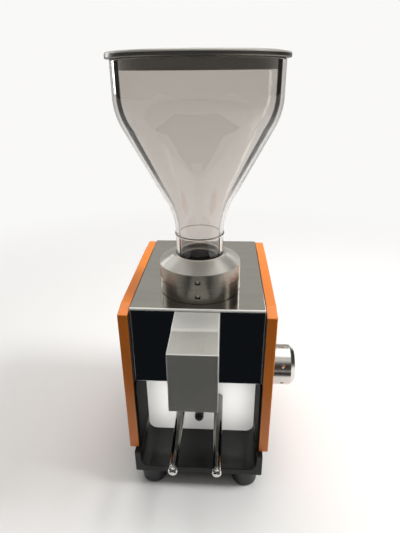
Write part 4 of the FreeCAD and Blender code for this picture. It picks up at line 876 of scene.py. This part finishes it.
def fork_rod(node, name):
    """Chromed rod: a round-nosed head, a neck and a rod that grows thicker towards the bay, turned
    along y."""
    low, high, centre = place_of(node)
    nose = low.y
    neck = nose + rod_head_length
    shoulder = neck + rod_neck_length
    root = nose + rod_reach
    profile = rounded([(0, nose), (rod_head_radius, nose), (rod_head_radius, neck), (rod_neck_radius, neck),
                       (rod_neck_radius, shoulder), (rod_tip_radius, shoulder), (rod_radius, root),
                       (rod_radius, high.y), (0, high.y)],
                      [0, rod_nose_round, rod_head_round, rod_head_round / 2, rod_head_round / 2,
                       rod_head_round / 2, 0, rod_head_round, 0], closed=False, steps=10)
    piece = turned(name, profile, centre, "y", steps=96)
    return dressed(piece, chromed, "body", "chrome_rod", node)


def start_button():
    """Plunger with a domed nose and a thinner stem behind, turned along y."""
    low, high, centre = place_of("start_button")
    back = high.y - button_shoulder
    profile = rounded([(0, low.y), (button_radius, low.y), (button_radius, back), (button_stem_radius, back),
                       (button_stem_radius, high.y), (0, high.y)],
                      [0, button_tip_round, 0.3 * MM, 0, 0.3 * MM, 0], closed=False, steps=10)
    piece = turned("button_plunger", profile, centre, "y", steps=72)
    return dressed(piece, black_plastic, "button", "black_plastic", "start_button")


def button_bush():
    """Flanged bush round the button, open in front, turned along y."""
    low, high, centre = place_of("button_bush")
    flange = low.y + bush_flange_reach
    web = high.y - bush_web
    bore = button_stem_radius + 0.1 * MM
    profile = rounded([(bush_bore_radius, low.y), (bush_flange_radius, low.y), (bush_flange_radius, flange),
                       (bush_barrel_radius, flange), (bush_barrel_radius, high.y), (bore, high.y),
                       (bore, web), (bush_bore_radius, web)],
                      [0.3 * MM, bush_round, 0.2 * MM, 0, 0.3 * MM, 0, 0, 0], steps=6)
    piece = turned("button_guide", profile, centre, "y", steps=72)
    return dressed(piece, black_plastic, "body", "black_plastic", "button_bush")


# Body

def rubber_feet():
    """Four tapered feet, each hollow under its screw, turned about their own upright axes."""
    low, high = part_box("rubber_feet")
    top_radius = foot_bottom_radius + foot_taper
    x_places = (low.x + top_radius, high.x - top_radius)
    y_places = (low.y + top_radius, high.y - top_radius)
    profile = rounded([(foot_recess_radius, 0), (foot_bottom_radius, 0), (top_radius, high.z),
                       (foot_bore_radius, high.z), (foot_bore_radius, foot_recess_depth),
                       (foot_recess_radius, foot_recess_depth)],
                      [0.6 * MM, foot_edge_round, foot_top_round, 0, 0, 0.5 * MM])
    feet = [turned("foot", profile, (x, y, 0), steps=96) for x in x_places for y in y_places]
    return dressed(joined("feet", feet), foot_rubber, "body", "foot_rubber", "rubber_feet")


def spout_housing():
    """Spout: a side outline with a raised saddle, carried across, hollowed from below and eased."""
    low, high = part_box("spout_housing")
    saddle, top = high.z, high.z - spout_saddle_rise
    step = high.y - spout_saddle_depth
    slope = spout_saddle_rise * 2.2
    outline = rounded([(low.y, low.z), (high.y, low.z), (high.y, saddle), (step, saddle),
                       (step - slope, top), (low.y, top)],
                      [0, 0, 0, spout_saddle_round, spout_saddle_round, spout_edge_round], steps=6)
    piece = prism("spout_shell", outline, "x", low.x, high.x)
    eased(piece, spout_edge_round / 2)
    inner = [(low.y + spout_wall, low.z - overrun), (high.y - spout_wall, low.z - overrun),
             (high.y - spout_wall, top - spout_wall), (low.y + spout_wall, top - spout_wall)]
    hollow = prism("hollow", inner, "x", low.x + spout_wall, high.x - spout_wall)
    near, far, chute_top = high.y - spout_wall - overrun, high.y + overrun, chute_low + chute_height
    window = prism("window", [(near, chute_low), (far, chute_low), (far, chute_top), (near, chute_top)], "x",
                   (low.x + high.x) / 2 - chute_half_width, (low.x + high.x) / 2 + chute_half_width)
    cut(piece, [hollow, window])
    return dressed(piece, satin, "body", "satin_aluminium", "spout_housing")


def side_panel(node, name):
    """Lacquered panel: a side outline that falls away at both ends, carried across and eased."""
    low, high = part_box(node)
    outline = rounded([(low.y, low.z), (high.y, low.z), (high.y, high.z - panel_rear_drop),
                       (high.y - panel_rear_slope, high.z), (low.y + panel_front_slope, high.z),
                       (low.y, high.z - panel_slope_drop)],
                      [0.8 * MM, 0.8 * MM, 1.2 * MM, 4.0 * MM, 4.0 * MM, 1.0 * MM], steps=4)
    piece = prism(name, outline, "x", low.x, high.x)
    eased(piece, panel_edge_round, 4)
    return dressed(piece, lacquer, "body", "orange_lacquer", node)


def top_plate():
    """Top sheet: a side outline with a bent front edge, carried across, bored for the burrs and eased."""
    low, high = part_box("top_plate")
    centre = centre_of("collar_lower")
    outline = rounded([(low.y, low.z), (high.y, low.z), (high.y, high.z), (low.y, high.z)],
                      [0, 0, 0, sheet_bend], steps=6)
    piece = prism("top_sheet", outline, "x", low.x, high.x)
    eased(piece, sheet_edge_round, 2)
    cut(piece, [turned("bore", [(0, low.z - overrun), (sheet_bore, low.z - overrun),
                                (sheet_bore, high.z + overrun), (0, high.z + overrun)], centre)])
    return dressed(piece, brushed_top, "body", "polished_steel", "top_plate")


def base_frame():
    """Base: a U outline with rounded inner corners carried from front to back and eased."""
    low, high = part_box("base_frame")
    left, right = -base_inner_half - shift_x, base_inner_half - shift_x
    outline = rounded([(low.x, low.z), (high.x, low.z), (high.x, high.z), (right, high.z),
                       (right, base_floor_top), (left, base_floor_top), (left, high.z), (low.x, high.z)],
                      [base_outer_round] * 2 + [0, 0] + [base_corner_radius] * 2 + [0, 0])
    piece = prism("base_tray", outline, "y", low.y, high.y)
    eased(piece, base_edge_round)
    return dressed(piece, enamel, "body", "black_enamel", "base_frame")


def hexagon(x, z, radius):
    """Six corners round a point, across y."""
    angle = np.pi / 3 * np.arange(6)
    return np.stack([x + radius * np.cos(angle), z + radius * np.sin(angle)], -1)


def cable_gland():
    """Cable gland: a hexagonal collar on a ribbed barrel with an open bore, turned along y."""
    low, high, centre = place_of("cable_gland")
    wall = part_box("rear_cover")[1].y
    dome, ledge = wall + gland_hex_length, high.y - gland_lip
    collar = prism("collar", hexagon(centre[0], centre[2], gland_hex_radius), "y", wall, dome)
    bore = turned("bore", [(0, low.y), (gland_bore_radius, low.y), (gland_bore_radius, high.y), (0, high.y)],
                  centre, "y", steps=48)
    cut(collar, [bore])
    eased(collar, 0.4 * MM, 2)
    share = np.linspace(0, 1, 12 * gland_ribs)
    ribs = gland_barrel_radius - gland_rib_depth * (0.5 - 0.5 * np.cos(2 * np.pi * gland_ribs * share))
    outside = np.stack([ribs, dome + (ledge - dome) * share], -1)
    profile = np.concatenate([[(gland_bore_radius, low.y), (gland_barrel_radius, low.y),
                               (gland_barrel_radius, wall)], outside,
                              rounded([(gland_barrel_radius, ledge), (gland_barrel_radius, high.y),
                                       (gland_bore_radius, high.y)], [0, 0.7 * MM, 0], closed=False)])
    barrel = turned("barrel", profile, centre, "y", steps=64)
    nut = joined("gland_nut", [collar, barrel])
    return dressed(nut, black_plastic, "body", "black_plastic", "cable_gland")


def cover_screws():
    """Pan heads of the rear cover's screws, each with a hexagonal socket."""
    low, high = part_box("rear_cover_screws")
    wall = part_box("rear_cover")[1].y
    shank, stem = screw_head_radius / 2, wall - screw_head_radius
    heads = []
    for x in (low.x + screw_head_radius, high.x - screw_head_radius):
        for z in (low.z + screw_head_radius, high.z - screw_head_radius):
            profile = rounded([(0, stem), (shank, stem), (shank, wall), (screw_head_radius, wall),
                               (screw_head_radius, high.y), (0, high.y)],
                              [0, 0, 0, 0, screw_head_round, 0], closed=False, steps=6)
            head = turned("head", profile, (x, 0, z), "y", steps=48)
            socket = prism("socket", hexagon(x, z, screw_recess_radius), "y", high.y - screw_recess_depth,
                           high.y + overrun)
            heads.append(cut(head, [socket]))
    return dressed(joined("cover_screw_heads", heads), zinc, "body", "zinc_screws", "rear_cover_screws")


shift_x = -centre_of("top_plate")[0]
hopper_glass()
hopper_lid()
collar_lower()
collar_upper()
adjuster_knob()
fork_rod("fork_rod_left", "fork_bar_left")
fork_rod("fork_rod_right", "fork_bar_right")
start_button()
button_bush()
rubber_feet()
spout_housing()
side_panel("side_panel_left", "lacquer_panel_left")
side_panel("side_panel_right", "lacquer_panel_right")
top_plate()
base_frame()
cable_gland()
cover_screws()

# Finishes of the CAD pieces that stay
finishes = [
    (mirror, "front_plate"), (bay_sheet, "bay_back_plate"), (matt_black, "cheek_left cheek_right"),
    (enamel, "rear_cover"), (black_plastic, "start_switch"), (bronze, "deck_bush adjuster_bush"),
    (plated, "deck rear_cover_posts fork_bracket grounds_deflector adjuster_bracket motor_can"),
    (zinc, "panel_screws foot_screws fork_nuts spout_screws collar_grub_screws collar_bolts motor_bolts"),
    (ground_steel, "button_spring burr_shaft shaft_bearing lift_block thrust_bearing adjuster_shaft"),
    (ground_steel, "main_gear motor_pinion motor_shaft"), (motor_iron, "motor_rotor motor_stator"),
    (burr_steel, "burr_carrier ring_burr cone_burr cone_nut"), (grey_plastic, "run_capacitor terminal_block"),
    (cast, "sweeper grinding_chamber motor_cap_upper motor_cap_lower"),
]
for material, nodes in finishes:
    for node in nodes.split():
        held = frame["nodes"][node]
        if held.material_slots:
            held.material_slots[0].material = material
        else:
            held.data.materials.append(material)


# Floor, lights and camera

def floor():
    """Wide pale floor: lit and shadowed near the grinder, and an even white further out."""
    points = floor_half * np.array([(-1, -1, 0), (1, -1, 0), (1, 1, 0), (-1, 1, 0)])
    piece = piece_of("floor", points, [[0, 1, 2, 3]])
    r, place = started("pale_floor")
    x, y, _ = r.axes(place)
    far = (x * x + y * y).root().between(floor_near, floor_far)
    matt = r.node("ShaderNodeBsdfDiffuse", inputs={"Color": floor_colour})
    white = r.node("ShaderNodeEmission", inputs={"Color": backdrop, "Strength": 1.0})
    piece.data.materials.append(r.surface(r.blend(r.seen_directly() * far, matt, white)))


def dark_card():
    """Black card over the floor in front of the grinder, which its faces see and the eye doesn't. From
    below it is clear, so that the floor under it stays pale."""
    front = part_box("front_plate")[0].y
    near, far, half = front - card_near, front - card_far, card_half
    points = np.array([(-half, far, MM), (half, far, MM), (half, near, MM), (-half, near, MM)])
    piece = piece_of("dark_card", points, [[0, 1, 2, 3]])
    r, _ = started("black_card")
    black = r.node("ShaderNodeEmission", inputs={"Color": shade(24, 27, 31), "Strength": 0.8})
    clear = r.node("ShaderNodeBsdfTransparent")
    below = r.node("ShaderNodeNewGeometry", output="Backfacing")
    piece.data.materials.append(r.surface(r.blend(below, black, clear)))
    piece.visible_camera = piece.visible_transmission = piece.visible_shadow = False


def lamp(name, place, width, depth, power, aim=(0.0, 0.0, 0.2), matt=True, gloss=True):
    """Area lamp at a place, turned towards a point. It may be left out of matt light or of reflections."""
    light = bpy.data.lights.new(name, "AREA")
    light.shape = "RECTANGLE"
    light.size, light.size_y, light.energy = width, depth, power
    holder = linked(name, light)
    holder.location = place
    holder.rotation_euler = (Vector(aim) - Vector(place)).to_track_quat("-Z", "Y").to_euler()
    holder.visible_camera = False
    holder.visible_diffuse = matt
    holder.visible_glossy = gloss
    holder.visible_transmission = gloss


def bay_lamps():
    """Two slim upright lamps inside the bay, just behind the front plate, which light the sheet at its
    back."""
    low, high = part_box("bay_back_plate")
    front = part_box("front_plate")[1].y
    level = (low.z + high.z) / 2 + bay_lamp_rise
    for side, x in (("left", low.x + bay_lamp_inset), ("right", high.x - bay_lamp_inset)):
        lamp("bay_" + side, (x, front, level), bay_lamp_width, bay_lamp_height, bay_lamp_power,
             (x, low.y, level), gloss=False)


def world():
    """Studio surroundings: white behind the object for the eye and through glass, a light wall and
    ceiling behind and above it, and a dim room on the camera's side."""
    surroundings = bpy.data.worlds.new("studio")
    bpy.context.scene.world = surroundings
    r = Recipe(surroundings)
    x, y, z = r.axes(r.node("ShaderNodeTexCoord", output="Generated"))
    behind = (y - x.size()).between(0.0, 0.45) * room_back
    wall = r.greatest(behind, z.between(0.5, 0.9) * room_top) + room_front
    room = r.node("ShaderNodeCombineXYZ", inputs={0: wall, 1: wall * 0.985, 2: wall * 0.95})
    shown = r.mixed(r.seen_directly(), room, backdrop)
    background = r.node("ShaderNodeBackground", inputs={"Color": shown, "Strength": 1.0})
    r.node("ShaderNodeOutputWorld", inputs={"Surface": background})


def camera():
    """Camera at the photograph's angle: its own axes from yaw, pitch and roll."""
    ahead = Vector((math.sin(view_yaw) * math.cos(view_pitch), math.cos(view_yaw) * math.cos(view_pitch),
                    -math.sin(view_pitch)))
    level = Vector((math.cos(view_yaw), -math.sin(view_yaw), 0.0))
    upward = level.cross(ahead)
    right = math.cos(view_roll) * level + math.sin(view_roll) * upward
    above = -math.sin(view_roll) * level + math.cos(view_roll) * upward
    lens = bpy.data.cameras.new("view")
    lens.sensor_width = sensor_size
    lens.lens = sensor_size * focal_pixels / view_height
    lens.clip_start = 0.01
    holder = linked("view", lens)
    holder.matrix_world = Matrix.Translation(eye) @ Matrix((right, above, -ahead)).transposed().to_4x4()
    bpy.context.scene.camera = holder


floor()
dark_card()
world()
lamp("overhead", (0.0, 0.30, 1.25), 0.9, 1.2, 9.5, (0.0, 0.10, 0.2), gloss=False)
lamp("overhead_shine", (0.0, 0.30, 1.22), 0.9, 1.2, 4.5, (0.0, 0.10, 0.2), matt=False)
lamp("key", (1.0, -0.10, 0.95), 0.35, 0.45, 12.0, gloss=False)
lamp("front_fill", (0.1, -0.75, 1.15), 0.7, 0.35, 0.15)
lamp("back_left", (-0.80, 0.55, 0.95), 0.30, 0.45, 0.7)
lamp("low_left", (-0.85, 0.75, 0.50), 0.14, 0.40, 1.0, matt=False)
lamp("right_side", (0.95, 0.0, 0.95), 0.10, 0.45, 0.5)
lamp("back_right", (0.42, 1.00, 0.80), 0.10, 0.30, 0.6, (0.02, 0.0, 0.19), matt=False)
bay_lamps()
camera()
bpy.context.scene.view_settings.view_transform = "Standard"
